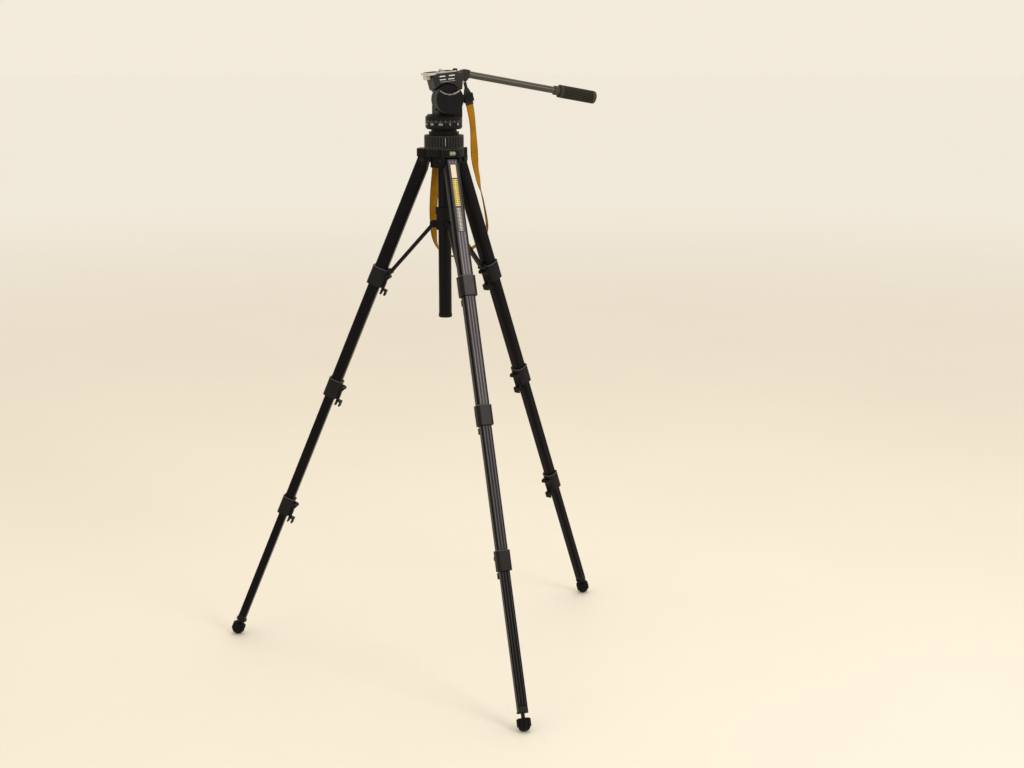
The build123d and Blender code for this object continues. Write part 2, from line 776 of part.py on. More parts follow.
def camera_plate():
    half = body_width / 2 - rail_width - rail_gap
    slab = span_box((plate_front, -half, plate_bottom), (plate_rear, half, plate_top))
    slab = fillet(slab.edges().filter_by(Axis.Z), plate_round)
    lip = span_box(
        (plate_front, -lip_half_width, plate_bottom - lip_drop),
        (plate_front + lip_thickness, lip_half_width, plate_bottom + 1),
    )
    slab += fillet(lip.edges().filter_by(Axis.X).group_by(Axis.Z)[0], plate_round)
    screw_axis = Pos(screw_position, 0, 0)
    slab -= screw_axis * upright_cylinder(screw_shoulder_radius + screw_gap, plate_bottom - 1, plate_top + 1)
    recess_top = plate_bottom + screw_head_height + screw_gap
    slab -= screw_axis * upright_cylinder(screw_head_radius + screw_gap, plate_bottom - 1, recess_top)
    return on_tilt() * slab


def camera_screw():
    head = upright_cylinder(screw_head_radius, plate_bottom, plate_bottom + screw_head_height)
    head -= span_box(
        (-screw_slot_half_width, -screw_head_radius - 1, plate_bottom - 1),
        (screw_slot_half_width, screw_head_radius + 1, plate_bottom + screw_slot_depth),
    )
    shank = upright_cylinder(screw_shoulder_radius, plate_bottom + screw_head_height, plate_top)
    shank += upright_cylinder(screw_radius, plate_top, plate_top + screw_stand)
    return on_tilt() * Pos(screw_position, 0, 0) * (head + shank)


def plate_catch():
    low = plate_rear + catch_gap
    block = span_box(
        (low, -catch_half_width, plate_bottom),
        (low + catch_length, catch_half_width, plate_bottom + catch_height),
    )
    return on_tilt() * fillet(block.edges().group_by(Axis.Z)[-1], catch_round)


def handle_tube():
    length = handle_length + handle_depth - grip_cap
    tube = Cylinder(handle_radius, length) - Cylinder(handle_radius - handle_wall, length + 1)
    return on_tilt() * on_handle() * Pos(0, 0, length / 2 - handle_depth) * tube


def handle_grip():
    start = handle_length - grip_length
    body = Pos(0, 0, start + grip_length / 2) * Cylinder(grip_radius, grip_length)
    body = fillet(body.edges().group_by(Axis.Z)[-1], grip_end_round)
    fluted = grip_length - 2 * grip_end_plain
    grooves = flutes(grip_flutes, grip_flute_radius, grip_radius, fluted)
    body -= [Pos(0, 0, start + grip_length / 2) * groove for groove in grooves]
    body += Pos(0, 0, start - ferrule_length / 2) * Cylinder(ferrule_radius, ferrule_length)
    bore_length = grip_length - grip_cap + ferrule_length
    bore_start = start - ferrule_length
    body -= upright_cylinder(handle_radius + bush_gap, bore_start - 1, bore_start + bore_length)
    return on_tilt() * on_handle() * body


# Stiff end tab between the handle boss and the webbing
def strap_tab():
    top = Vector(*tab_top)
    end = Vector(*strap_route[0])
    run = end - top
    azimuth = math.radians(strap_width_azimuths[0])
    flat = run.cross(Vector(math.cos(azimuth), math.sin(azimuth), 0))
    across = flat.cross(run)
    plane = Plane(origin=top, x_dir=across, z_dir=across.cross(run))
    length = run.length - strap_gap
    shoulder_at = tab_shoulder_share * length
    outline = Polygon(
        (-tab_top_width / 2, 0),
        (tab_top_width / 2, 0),
        (tab_bottom_width / 2, shoulder_at),
        (tab_bottom_width / 2, length),
        (-tab_bottom_width / 2, length),
        (-tab_bottom_width / 2, shoulder_at),
        align=None,
    )
    return Pos(0, 0, shoulder_bottom) * extrude(plane * outline, tab_thickness / 2, both=True)


# Straight runs joined by arcs, each as large as its two runs allow
def strap_path():
    points = [Vector(*point) for point in strap_route]
    radii = []
    for before, point, after in zip(points, points[1:], points[2:]):
        first = point - before
        second = after - point
        half_turn = math.radians(first.get_angle(second)) / 2
        radii.append(strap_bend_share * min(first.length, second.length) / math.tan(half_turn))
    print("strap bend radii:", [round(radius, 1) for radius in radii])
    return FilletPolyline(*points, radius=radii)


def strap_azimuth(share):
    place = share * (len(strap_width_azimuths) - 1)
    step = min(int(place), len(strap_width_azimuths) - 2)
    low = strap_width_azimuths[step]
    high = strap_width_azimuths[step + 1]
    return math.radians(low + (high - low) * (place - step))


# Flat webbing as a ruled band of even sections along the route
def strap():
    path = strap_path()
    frames = []
    for index in range(strap_sections + 1):
        share = index / strap_sections
        azimuth = strap_azimuth(share)
        along = path.tangent_at(share)
        across = Vector(math.cos(azimuth), math.sin(azimuth), 0)
        flat = along.cross(across)
        plane = Plane(origin=path.position_at(share), x_dir=flat.cross(along), z_dir=along)
        frames.append(plane * Rectangle(strap_width, strap_thickness))
    band = loft(frames, ruled=True)
    expected = strap_width * strap_thickness * path.length
    print("strap length:", round(path.length, 1), "volume share:", round(band.volume / expected, 4))
    return Pos(0, 0, shoulder_bottom) * band


def save(name, shape):
    export_step(shape, os.path.join("parts", name + ".step"))


os.makedirs("parts", exist_ok=True)

for leg, azimuth in zip(leg_names, leg_azimuths):
    place = on_leg(azimuth)
    save(leg + "_leg_tube_1", place * upper_tube())
    for index in (1, 2, 3):
        save(f"{leg}_leg_tube_{index + 1}", place * leg_tube(index))
    for index in (0, 1, 2):
        save(f"{leg}_leg_lock_{index + 1}", place * leg_lock(index))
        save(f"{leg}_leg_lever_{index + 1}", place * leg_lever(index))
    save(leg + "_foot_spike", place * foot_spike())
    save(leg + "_rubber_foot", place * rubber_foot())
    save(leg + "_strut", Rot(0, 0, azimuth) * strut())

save("shoulder", shoulder())
save("leg_hinge_bolts", Compound([Rot(0, 0, azimuth) * hinge_bolt() for azimuth in leg_azimuths]))
save("bubble_vial", vial_place() * Cylinder(vial_radius, vial_length))
save("column_bush", column_bush())
save("column_lock_ring", column_lock_ring())
save("centre_column", centre_column())
save("column_end_cap", column_end_cap())
save("column_platform", column_platform())
save("brace_hub", brace_hub())
save("pan_base", pan_base())
save("pan_housing", pan_housing())
save("pan_lock_knob", pan_lock_knob())
save("drag_knob", drag_knob())
save("tilt_body", tilt_body())
save("camera_plate", camera_plate())
save("camera_screw", camera_screw())
save("plate_catch", plate_catch())
save("handle_tube", handle_tube())
save("handle_grip", handle_grip())
save("strap_tab", strap_tab())
save("strap", strap())
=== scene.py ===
import math

import bmesh
import bpy
from mathutils import Matrix, Vector


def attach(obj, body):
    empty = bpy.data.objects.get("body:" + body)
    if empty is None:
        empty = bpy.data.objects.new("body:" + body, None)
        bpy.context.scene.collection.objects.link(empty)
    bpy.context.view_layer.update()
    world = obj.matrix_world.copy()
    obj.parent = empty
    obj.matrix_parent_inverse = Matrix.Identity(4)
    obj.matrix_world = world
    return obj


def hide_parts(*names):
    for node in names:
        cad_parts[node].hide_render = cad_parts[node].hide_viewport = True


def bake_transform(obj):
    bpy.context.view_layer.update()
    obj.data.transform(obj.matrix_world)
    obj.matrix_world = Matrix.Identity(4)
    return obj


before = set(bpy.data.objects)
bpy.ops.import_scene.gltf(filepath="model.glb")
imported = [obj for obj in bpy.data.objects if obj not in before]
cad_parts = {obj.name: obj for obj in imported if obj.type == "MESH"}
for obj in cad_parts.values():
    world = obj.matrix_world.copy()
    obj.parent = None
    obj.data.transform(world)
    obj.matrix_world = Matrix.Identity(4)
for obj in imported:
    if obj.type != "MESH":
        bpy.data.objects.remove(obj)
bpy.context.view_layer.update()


# Studio: a plain pale floor under a pale surround, lit by three large soft lamps.
# The camera stands about 3.6 m in front of the column at eye height and looks slightly down.
class Tone:
    """A value or vector of a material; Python operators on it add Math nodes."""

    def __init__(self, tree, socket=None):
        self.tree = tree
        self.socket = socket

    def node(self, kind, settings=(), sockets=(), output=0):
        made = self.tree.nodes.new(kind)
        for name, value in dict(settings).items():
            setattr(made, name, value)
        for name, value in dict(sockets).items():
            if isinstance(value, Tone):
                self.tree.links.new(value.socket, made.inputs[name])
            else:
                made.inputs[name].default_value = value
        return Tone(self.tree, made.outputs[output])

    def maths(self, operation, first, second=0.0):
        return self.node("ShaderNodeMath", {"operation": operation}, {0: first, 1: second})

    def __add__(self, other):
        return self.maths("ADD", self, other)

    def __sub__(self, other):
        return self.maths("SUBTRACT", self, other)

    def __rsub__(self, other):
        return self.maths("SUBTRACT", other, self)

    def __mul__(self, other):
        return self.maths("MULTIPLY", self, other)

    def __abs__(self):
        return self.maths("ABSOLUTE", self)

    __radd__ = __add__
    __rmul__ = __mul__

    def wave(self):
        return self.maths("SINE", self)

    def rise(self, low, high):
        return self.node(
            "ShaderNodeMapRange",
            {"interpolation_type": "SMOOTHSTEP"},
            {"Value": self, "From Min": low, "From Max": high},
        )

    def along(self, direction):
        sockets = {0: self, 1: direction}
        return self.node("ShaderNodeVectorMath", {"operation": "DOT_PRODUCT"}, sockets, "Value")

    def joined(self, second, third):
        return self.node("ShaderNodeCombineXYZ", (), {0: self, 1: second, 2: third})

    def noise(self, scale, detail=2.0, roughness=0.5):
        sockets = {"Vector": self, "Scale": scale, "Detail": detail, "Roughness": roughness}
        return self.node("ShaderNodeTexNoise", (), sockets, "Fac")

    def mix(self, low, high):
        ends = [end if isinstance(end, Tone) else (*end, 1.0) for end in (low, high)]
        return self.node("ShaderNodeMix", {"data_type": "RGBA"}, {0: self, 6: ends[0], 7: ends[1]}, 2)


def new_finish(name):
    material = bpy.data.materials.new(name)
    material.use_nodes = True
    return material, Tone(material.node_tree).node("ShaderNodeTexCoord", (), (), "Object")


def coat(material, sockets, height=None, depth=0.001):
    tree = material.node_tree
    shader = tree.nodes["Principled BSDF"]
    for name, value in sockets.items():
        if isinstance(value, Tone):
            tree.links.new(value.socket, shader.inputs[name])
        else:
            shader.inputs[name].default_value = value
    if height is not None:
        bump = height.node("ShaderNodeBump", (), {"Height": height, "Distance": depth}, "Normal")
        tree.links.new(bump.socket, shader.inputs["Normal"])
    return material


def floor_finish():
    material, spot = new_finish("pale_floor")
    cloud = spot.noise(1.3, 4.0)
    speck = spot.noise(220.0, 2.0)
    far = spot.node("ShaderNodeVectorMath", {"operation": "LENGTH"}, {0: spot}, "Value").rise(1.5, 11.0)
    near = cloud.mix((0.82, 0.77, 0.68), (0.86, 0.82, 0.73))
    colour = far.mix(near, (0.98, 0.98, 0.98))
    return coat(material, {"Base Color": colour, "Roughness": 0.55 + 0.2 * speck}, speck, 0.0004)


floor_radius = 60.0
floor_mesh = bpy.data.meshes.new("studio_floor")
floor_shape = bmesh.new()
bmesh.ops.create_circle(floor_shape, cap_ends=True, segments=96, radius=floor_radius)
floor_shape.to_mesh(floor_mesh)
floor_shape.free()
floor = bpy.data.objects.new("studio_floor", floor_mesh)
floor_mesh.materials.append(floor_finish())
bpy.context.collection.objects.link(floor)

surround = bpy.data.worlds.new("pale_surround")
bpy.context.scene.world = surround
surround.use_nodes = True
surround.node_tree.nodes["Background"].inputs["Color"].default_value = (1.0, 0.92, 0.79, 1.0)
surround.node_tree.nodes["Background"].inputs["Strength"].default_value = 0.90
bpy.context.scene.view_settings.view_transform = "Standard"


def soft_lamp(name, spot, aim, size, power):
    lamp = bpy.data.lights.new(name, "AREA")
    lamp.size = size
    lamp.energy = power
    holder = bpy.data.objects.new(name, lamp)
    holder.location = spot
    holder.rotation_euler = (Vector(aim) - Vector(spot)).to_track_quat("-Z", "Y").to_euler()
    bpy.context.collection.objects.link(holder)


soft_lamp("key_lamp", (2.6, -2.8, 2.7), (0.0, 0.0, 0.9), 1.6, 52.0)
soft_lamp("fill_lamp", (-3.0, -2.4, 1.6), (0.0, 0.0, 0.8), 2.2, 9.0)
soft_lamp("top_lamp", (0.3, 0.9, 3.4), (0.0, 0.0, 0.9), 1.8, 18.0)

eye = bpy.data.cameras.new("photograph_view")
eye.sensor_width = 36.0
eye.lens = 58.37
eye_holder = bpy.data.objects.new("photograph_view", eye)
eye_holder.location = (0.0, -3.5961, 1.3630)
eye_holder.rotation_euler = (math.radians(90.0 - 11.783), 0.0, math.radians(-2.325))
bpy.context.collection.objects.link(eye_holder)
bpy.context.scene.camera = eye_holder


# Leg tubes: four drawn aluminium tubes per leg, black anodised, that slide into each other.
# The flat outer face is painted lighter, as painted light falling on it, most on the upper tubes; the sides
# are glossy.
leg_azimuths = {"front": -72.5, "right": 47.5, "left": 167.5}
leg_spread = math.radians(22.77)
hinge_radius = 0.043
hinge_height = 1.106691
depth_step = 1.8
width_step = 1.6
tube_half_depths = [14.0 - depth_step * index for index in range(4)]
tube_half_widths = [15.0 - width_step * index for index in range(4)]
# Painted light: the share by which each tube's outer face, its ribs and its lock's outer face are lightened,
# upper tube first.
face_painted_light = (1.0, 0.62, 0.30, 0.08)


def leg_place(azimuth):
    turn = Matrix.Rotation(math.radians(azimuth), 4, "Z")
    lean = Matrix.Rotation(-leg_spread, 4, "Y")
    return turn @ Matrix.Translation((hinge_radius, 0.0, hinge_height)) @ lean


def measure(spot, place, axis):
    """Millimetres along one axis of a placed frame."""
    direction = place.col[axis].xyz
    return 1000.0 * spot.along(direction) - 1000.0 * direction.dot(place.translation)


def shaded(colour, share):
    return tuple(share * part for part in colour)


def tube_finish(name, place, half_depth, painted_light):
    material, spot = new_finish(name)
    depth = measure(spot, place, 0)
    across = measure(spot, place, 1)
    reach = measure(spot, place, 2)
    # The outer face is painted lighter than the dark sides, as painted light; the streaks only mottle it.
    face = depth.rise(half_depth - 0.6, half_depth - 0.1)
    streak = (across * 1.4).joined(depth * 1.4, reach * 0.015).noise(1.0, 4.0, 0.65)
    rub = streak.rise(0.60, 0.80)
    cloud = spot.noise(18.0, 3.0)
    side = cloud.mix((0.0062, 0.0058, 0.0066), (0.0105, 0.0098, 0.011))
    front = rub.mix(shaded((0.060, 0.053, 0.057), painted_light), shaded((0.100, 0.090, 0.095), painted_light))
    sockets = {
        "Base Color": face.mix(side, front),
        "Metallic": 0.55,
        "Specular IOR Level": 0.05,
        "Roughness": 0.26 + 0.16 * cloud + 0.10 * face,
    }
    return coat(material, sockets, streak, 0.00012)


def dress(node, material):
    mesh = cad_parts[node].data
    mesh.materials.clear()
    mesh.materials.append(material)


for leg, azimuth in leg_azimuths.items():
    for index, half_depth in enumerate(tube_half_depths):
        tube_name = f"{leg}_leg_tube_{index + 1}"
        finish = tube_finish(f"{tube_name}_anodised", leg_place(azimuth), half_depth, face_painted_light[index])
        dress(tube_name, finish)


# Scale strip: a printed foil glued to the flat outer face of the front leg under the shoulder.
# A cream patch, a yellow scale and a pale scale in plain graduations tell the leg's angle and length.
def print_finish(name, colour, grime):
    material, spot = new_finish(name)
    stain = spot.noise(90.0, 4.0, 0.6).rise(0.50, 0.80)
    tint = stain.mix(colour, grime)
    return coat(material, {"Base Color": tint, "Roughness": 0.42 + 0.2 * stain}, spot.noise(2500.0), 0.00005)


cream_print = print_finish("cream_print", (0.72, 0.64, 0.50), (0.48, 0.41, 0.30))
yellow_print = print_finish("yellow_print", (0.78, 0.60, 0.08), (0.52, 0.38, 0.06))
pale_print = print_finish("pale_print", (0.55, 0.53, 0.48), (0.34, 0.32, 0.28))


def add_piece(name, shape, material, place, body):
    """Closes a bmesh into a finished piece in the row frame that rides on a body, if one is given."""
    bmesh.ops.remove_doubles(shape, verts=shape.verts, dist=1e-7)
    bmesh.ops.recalc_face_normals(shape, faces=shape.faces)
    shape.transform(place)
    mesh = bpy.data.meshes.new(name)
    shape.to_mesh(mesh)
    shape.free()
    mesh.materials.append(material)
    piece = bpy.data.objects.new(name, mesh)
    bpy.context.collection.objects.link(piece)
    if body is not None:
        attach(piece, body)
    return piece


def rounded_block(low, high, edge):
    shape = bmesh.new()
    bmesh.ops.create_cube(shape, size=1.0)
    size = Vector(high) - Vector(low)
    middle = (Vector(high) + Vector(low)) / 2
    shape.transform(Matrix.Translation(middle) @ Matrix.Diagonal((*size, 1.0)))
    if edge:
        bmesh.ops.bevel(shape, geom=shape.edges, offset=edge, segments=2, profile=0.5, affect="EDGES")
    return shape


def repeats_tree():
    """Copies of one shape, each turned and shifted from the last."""
    tree = bpy.data.node_groups.new("repeats", "GeometryNodeTree")
    wanted = (
        ("Shape", "NodeSocketObject"),
        ("Count", "NodeSocketInt"),
        ("Turn", "NodeSocketFloat"),
        ("Step", "NodeSocketVector"),
        ("Finish", "NodeSocketMaterial"),
    )
    for label, kind in wanted:
        tree.interface.new_socket(label, in_out="INPUT", socket_type=kind)
    tree.interface.new_socket("Geometry", in_out="OUTPUT", socket_type="NodeSocketGeometry")
    given = tree.nodes.new("NodeGroupInput")
    number = tree.nodes.new("GeometryNodeInputIndex")
    shift = tree.nodes.new("ShaderNodeVectorMath")
    shift.operation = "SCALE"
    turn = tree.nodes.new("ShaderNodeMath")
    turn.operation = "MULTIPLY"
    spin = tree.nodes.new("ShaderNodeCombineXYZ")
    points = tree.nodes.new("GeometryNodePoints")
    source = tree.nodes.new("GeometryNodeObjectInfo")
    copies = tree.nodes.new("GeometryNodeInstanceOnPoints")
    real = tree.nodes.new("GeometryNodeRealizeInstances")
    painted = tree.nodes.new("GeometryNodeSetMaterial")
    result = tree.nodes.new("NodeGroupOutput")
    wires = (
        (given.outputs["Step"], shift.inputs[0]),
        (number.outputs[0], shift.inputs["Scale"]),
        (given.outputs["Turn"], turn.inputs[0]),
        (number.outputs[0], turn.inputs[1]),
        (turn.outputs[0], spin.inputs[2]),
        (given.outputs["Count"], points.inputs["Count"]),
        (shift.outputs[0], points.inputs["Position"]),
        (given.outputs["Shape"], source.inputs["Object"]),
        (points.outputs[0], copies.inputs["Points"]),
        (source.outputs["Geometry"], copies.inputs["Instance"]),
        (spin.outputs[0], copies.inputs["Rotation"]),
        (copies.outputs[0], real.inputs[0]),
        (real.outputs[0], painted.inputs["Geometry"]),
        (given.outputs["Finish"], painted.inputs["Material"]),
        (painted.outputs[0], result.inputs[0]),
    )
    for start, end in wires:
        tree.links.new(start, end)
    return tree


repeats = repeats_tree()


def repeated(shape, count, turn, step, material):
    """A bmesh with the copies that the repeats tree makes of a shape."""
    pattern_mesh = bpy.data.meshes.new("pattern")
    shape.to_mesh(pattern_mesh)
    shape.free()
    pattern = bpy.data.objects.new("pattern", pattern_mesh)
    holder = bpy.data.objects.new("copies", bpy.data.meshes.new("copies"))
    bpy.context.collection.objects.link(pattern)
    bpy.context.collection.objects.link(holder)
    modifier = holder.modifiers.new("repeats", "NODES")
    modifier.node_group = repeats
    values = {"Shape": pattern, "Count": count, "Turn": turn, "Step": step, "Finish": material}
    for item in repeats.interface.items_tree:
        if item.in_out == "INPUT":
            modifier[item.identifier] = values[item.name]
    holder.update_tag()
    seen = holder.evaluated_get(bpy.context.evaluated_depsgraph_get())
    mesh = bpy.data.meshes.new_from_object(seen)
    copies = bmesh.new()
    copies.from_mesh(mesh)
    bpy.data.objects.remove(holder)
    bpy.data.objects.remove(pattern)
    bpy.data.meshes.remove(mesh)
    return copies


front_place = leg_place(leg_azimuths["front"])
strip_face = 0.0140
strip_half_width = 0.0056
strip_proud = 0.00012
tick_proud = 0.00014


def strip_block(top, bottom, half_width, proud):
    """A flat printed patch on the tube's face between two reaches down the leg."""
    return rounded_block((strip_face, -half_width, -bottom), (strip_face + proud, half_width, -top), 0.0)


def add_strip(name, top, bottom, half_width, material):
    shape = strip_block(top, bottom, half_width, strip_proud)
    add_piece(name, shape, material, front_place, "front_upper")


def add_scale(name, top, bottom, half_width, count, pitch, material):
    """A row of ticks whose first lies between top and bottom."""
    tick = strip_block(top, bottom, half_width, tick_proud)
    ticks = repeated(tick, count, 0.0, (0.0, 0.0, -pitch), material)
    add_piece(name, ticks, material, front_place, "front_upper")


add_strip("strip_cream_patch", 0.0135, 0.0425, strip_half_width, cream_print)
add_strip("strip_yellow_rail", 0.0450, 0.1045, 0.0009, yellow_print)
add_strip("strip_pale_rail", 0.1080, 0.1590, 0.0006, pale_print)
add_scale("strip_yellow_scale", 0.0457, 0.0479, strip_half_width, 15, 0.0040, yellow_print)
add_scale("strip_pale_scale", 0.1092, 0.1102, 0.0048, 17, 0.0030, pale_print)


# Face ribs: three low ribs from the drawing die run down the outer face of every leg tube.
# Their crests are a purplish grey, a painted highlight mottled by wear; they stop short of the strip and the
# locks.
def rib_finish(name, painted_light):
    material, spot = new_finish(name)
    wear = spot.noise(55.0, 5.0, 0.65)
    # Painted highlight: the crests' purplish grey, mottled by wear and dimmed down the leg with each tube's
    # painted light.
    tint = wear.mix(shaded((0.080, 0.072, 0.078), painted_light), shaded((0.165, 0.150, 0.160), painted_light))
    sockets = {"Base Color": tint, "Metallic": 0.6, "Roughness": 0.30 + 0.2 * wear}
    return coat(material, sockets, wear, 0.00008)


leg_sections = ("upper", "second", "third", "lower")
rib_spans = ((0.005, 0.254), (0.300, 0.530), (0.576, 0.832), (0.878, 1.146))
split_span = ((0.005, 0.012), (0.162, 0.254))
rib_count = 3
rib_root = 0.0002
rib_height = 0.00018
rib_edge = 0.0001
rib_pitch = 0.0062
rib_half = 0.0013
for index, section in enumerate(leg_sections):
    rib_metal = rib_finish(f"rubbed_ribs_{section}", face_painted_light[index])
    face = tube_half_depths[index] / 1000
    for leg, azimuth in leg_azimuths.items():
        spans = split_span if (leg, section) == ("front", "upper") else (rib_spans[index],)
        for part, (top, bottom) in enumerate(spans):
            low = (face - rib_root, -rib_pitch - rib_half, -bottom)
            high = (face + rib_height, rib_half - rib_pitch, -top)
            rib = rounded_block(low, high, rib_edge)
            ribs = repeated(rib, rib_count, 0.0, (0.0, rib_pitch, 0.0), rib_metal)
            name = f"{leg}_ribs_{section}_{part}"
            add_piece(name, ribs, rib_metal, leg_place(azimuth), f"{leg}_{section}")


# Leg locks and levers: black moulded collars pressed on the tube ends, each with a flip lever.
# A rounded bead runs round the collar's top edge, coloured light grey as a painted highlight, and the
# lever's finger plate has grip ribs.
def plastic_finish(name, dark, light, grain=1400.0, rough=0.48):
    material, spot = new_finish(name)
    cloud = spot.noise(35.0, 4.0)
    grit = spot.noise(grain, 2.0)
    dust = spot.noise(140.0, 5.0, 0.7).rise(0.58, 0.85)
    body = cloud.mix(dark, light)
    sockets = {
        "Base Color": (0.30 * dust).mix(body, (0.036, 0.033, 0.029)),
        "Specular IOR Level": 0.08,
        "Roughness": rough + 0.18 * (grit - 0.5) + 0.16 * dust,
    }
    return coat(material, sockets, grit, 0.00012)


black_plastic = plastic_finish("black_plastic_grain", (0.0050, 0.0047, 0.0050), (0.0095, 0.0090, 0.0093))
# Painted highlight: the light grey of the bead along each collar's top edge.
edge_highlight = plastic_finish("worn_edge_plastic", (0.085, 0.080, 0.080), (0.125, 0.118, 0.115), 900.0, 0.38)
lock_tops = (0.256, 0.532, 0.834)
lock_wall = 3.5
outer_corner = 6.5
inner_corner = 10.0
corner_parts = 6
bead_radius = 0.0007
bead_drop = 0.0006
lever_back = 0.0045
lever_rib_count = 5
lever_rib_span = (0.0278, 0.0290)
lever_rib_half = 0.0058
lever_rib_proud = 0.0007
lever_rib_root = 0.0004
lever_rib_edge = 0.0003
lever_rib_pitch = 0.0026


def lock_outline(index):
    """Points round a lock collar's outer face, in millimetres of the leg frame."""
    half_x = tube_half_depths[index] + lock_wall
    half_y = tube_half_widths[index] + lock_wall
    step = width_step * index
    corners = (
        (1, 1, outer_corner, 0.0),
        (-1, 1, inner_corner, 90.0),
        (-1, -1, inner_corner, 180.0),
        (1, -1, outer_corner, 270.0),
    )
    points = []
    for side_x, side_y, corner, start in corners:
        radius = corner - step + lock_wall
        for part in range(corner_parts + 1):
            angle = math.radians(start + 90.0 * part / corner_parts)
            x = side_x * (half_x - radius) + radius * math.cos(angle)
            y = side_y * (half_y - radius) + radius * math.sin(angle)
            points.append((x, y))
    return points


def bead(points, radius):
    """A round bead along a closed line of points, as a bmesh."""
    line = bpy.data.curves.new("bead", "CURVE")
    line.dimensions = "3D"
    line.bevel_depth = radius
    line.bevel_resolution = 2
    spline = line.splines.new("POLY")
    spline.points.add(len(points) - 1)
    for place, point in zip(spline.points, points):
        place.co = (*point, 1.0)
    spline.use_cyclic_u = True
    holder = bpy.data.objects.new("bead", line)
    bpy.context.collection.objects.link(holder)
    seen = holder.evaluated_get(bpy.context.evaluated_depsgraph_get())
    mesh = bpy.data.meshes.new_from_object(seen)
    shape = bmesh.new()
    shape.from_mesh(mesh)
    bpy.data.objects.remove(holder)
    bpy.data.curves.remove(line)
    bpy.data.meshes.remove(mesh)
    for face in shape.faces:
        face.smooth = True
    return shape


def lock_finish(name, place, half_depth, painted_light):
    """Black plastic whose flat outer face is painted greyer as painted light, like the tube it sits on."""
    material, spot = new_finish(name)
    face = measure(spot, place, 0).rise(half_depth - 0.6, half_depth - 0.1)
    cloud = spot.noise(35.0, 4.0)
    grit = spot.noise(1400.0, 2.0)
    side = cloud.mix((0.0085, 0.0080, 0.0083), (0.0150, 0.0141, 0.0145))
    front = cloud.mix(shaded((0.048, 0.044, 0.046), painted_light), shaded((0.075, 0.069, 0.071), painted_light))
    sockets = {
        "Base Color": face.mix(side, front),
        "Specular IOR Level": 0.08,
        "Roughness": 0.44 + 0.18 * (grit - 0.5),
    }
    return coat(material, sockets, grit, 0.00012)


def lever_ribs(lock_depth, top):
    """Grip ribs on a lever's finger plate, in the leg frame."""
    back = -lock_depth / 1000 - lever_back
    low = (back - lever_rib_proud, -lever_rib_half, -top - lever_rib_span[1])
    high = (back + lever_rib_root, lever_rib_half, -top - lever_rib_span[0])
    rib = rounded_block(low, high, lever_rib_edge)
    return repeated(rib, lever_rib_count, 0.0, (0.0, 0.0, -lever_rib_pitch), black_plastic)


for leg, azimuth in leg_azimuths.items():
    place = leg_place(azimuth)
    for index, top in enumerate(lock_tops):
        number = index + 1
        lock_depth = tube_half_depths[index] + lock_wall
        lock_name = f"{leg}_leg_lock_{number}"
        dress(lock_name, lock_finish(f"{lock_name}_plastic", place, lock_depth, face_painted_light[index]))
        dress(f"{leg}_leg_lever_{number}", black_plastic)
        rim = [(x / 1000, y / 1000, -top - bead_drop) for x, y in lock_outline(index)]
        rim_bead = bead(rim, bead_radius)
        section = f"{leg}_{leg_sections[index]}"
        add_piece(f"{leg}_lock_{number}_bead", rim_bead, edge_highlight, place, section)
        ribs = lever_ribs(lock_depth, top)
        lever = f"{leg}_lever_{number}"
        add_piece(f"{lever}_ribs", ribs, black_plastic, place, lever)


# Feet: a blackened steel stud with a ground spike, and a rubber foot that screws down over it.
# Upright ribs round the foot give it grip, and the rubber is dusty towards the sole.
def steel_finish(name, colour, rough):
    material, spot = new_finish(name)
    brush = spot.noise(900.0, 3.0)
    wear = spot.noise(120.0, 4.0).rise(0.52, 0.74)
    tint = wear.mix(colour, tuple(min(1.0, 1.7 * part) for part in colour))
    sockets = {"Base Color": tint, "Metallic": 0.9, "Roughness": rough + 0.2 * (brush - 0.5)}
    return coat(material, sockets, brush, 0.00006)


def rubber_finish(name, colour):
    material, spot = new_finish(name)
    height = 1000.0 * spot.along((0.0, 0.0, 1.0))
    patch = spot.noise(260.0, 5.0, 0.7)
    dusty = (1.0 - height.rise(1.0, 13.0)) * patch.rise(0.35, 0.7)
    grit = spot.noise(1900.0, 2.0)
    tint = (0.6 * dusty).mix(colour, (0.05, 0.045, 0.036))
    sockets = {"Base Color": tint, "Specular IOR Level": 0.1, "Roughness": 0.62 + 0.2 * patch}
    return coat(material, sockets, grit, 0.0002)


dark_steel = steel_finish("blackened_steel", (0.016, 0.0155, 0.016), 0.42)
foot_rubber = rubber_finish("foot_rubber", (0.0065, 0.0062, 0.0065))
foot_rib_count = 10
foot_rib_turn = 2.0 * math.pi / foot_rib_count
foot_rib_edge = 0.0008
foot_rib_low = (0.0115, -0.0028, -1.1895)
foot_rib_high = (0.0146, 0.0028, -1.1735)
for leg, azimuth in leg_azimuths.items():
    dress(f"{leg}_foot_spike", dark_steel)
    dress(f"{leg}_rubber_foot", foot_rubber)
    foot_rib = rounded_block(foot_rib_low, foot_rib_high, foot_rib_edge)
    foot_ribs = repeated(foot_rib, foot_rib_count, foot_rib_turn, (0.0, 0.0, 0.0), foot_rubber)
    add_piece(f"{leg}_foot_ribs", foot_ribs, foot_rubber, leg_place(azimuth), f"{leg}_sole")


# Shoulder: a black moulding that carries the three legs on bolts and the column on a nylon bush.
# Its top edge is lighter in colour, domed caps cover the bolts, and a level vial sits in the front lobe.
def shoulder_finish():
    material, spot = new_finish("shoulder_moulding")
    height = 1000.0 * spot.along((0.0, 0.0, 1.0))
    edge = height.rise(1129.6, 1130.6)
    cloud = spot.noise(30.0, 4.0)
    grit = spot.noise(1200.0, 2.0)
    body = cloud.mix((0.0045, 0.0042, 0.0042), (0.0085, 0.0080, 0.0080))
    sockets = {
        "Base Color": (edge * (0.4 + 0.6 * cloud)).mix(body, (0.06, 0.055, 0.052)),
        "Specular IOR Level": 0.08,
        "Roughness": 0.44 + 0.2 * (grit - 0.5) + 0.1 * cloud,
    }
    return coat(material, sockets, grit, 0.00015)


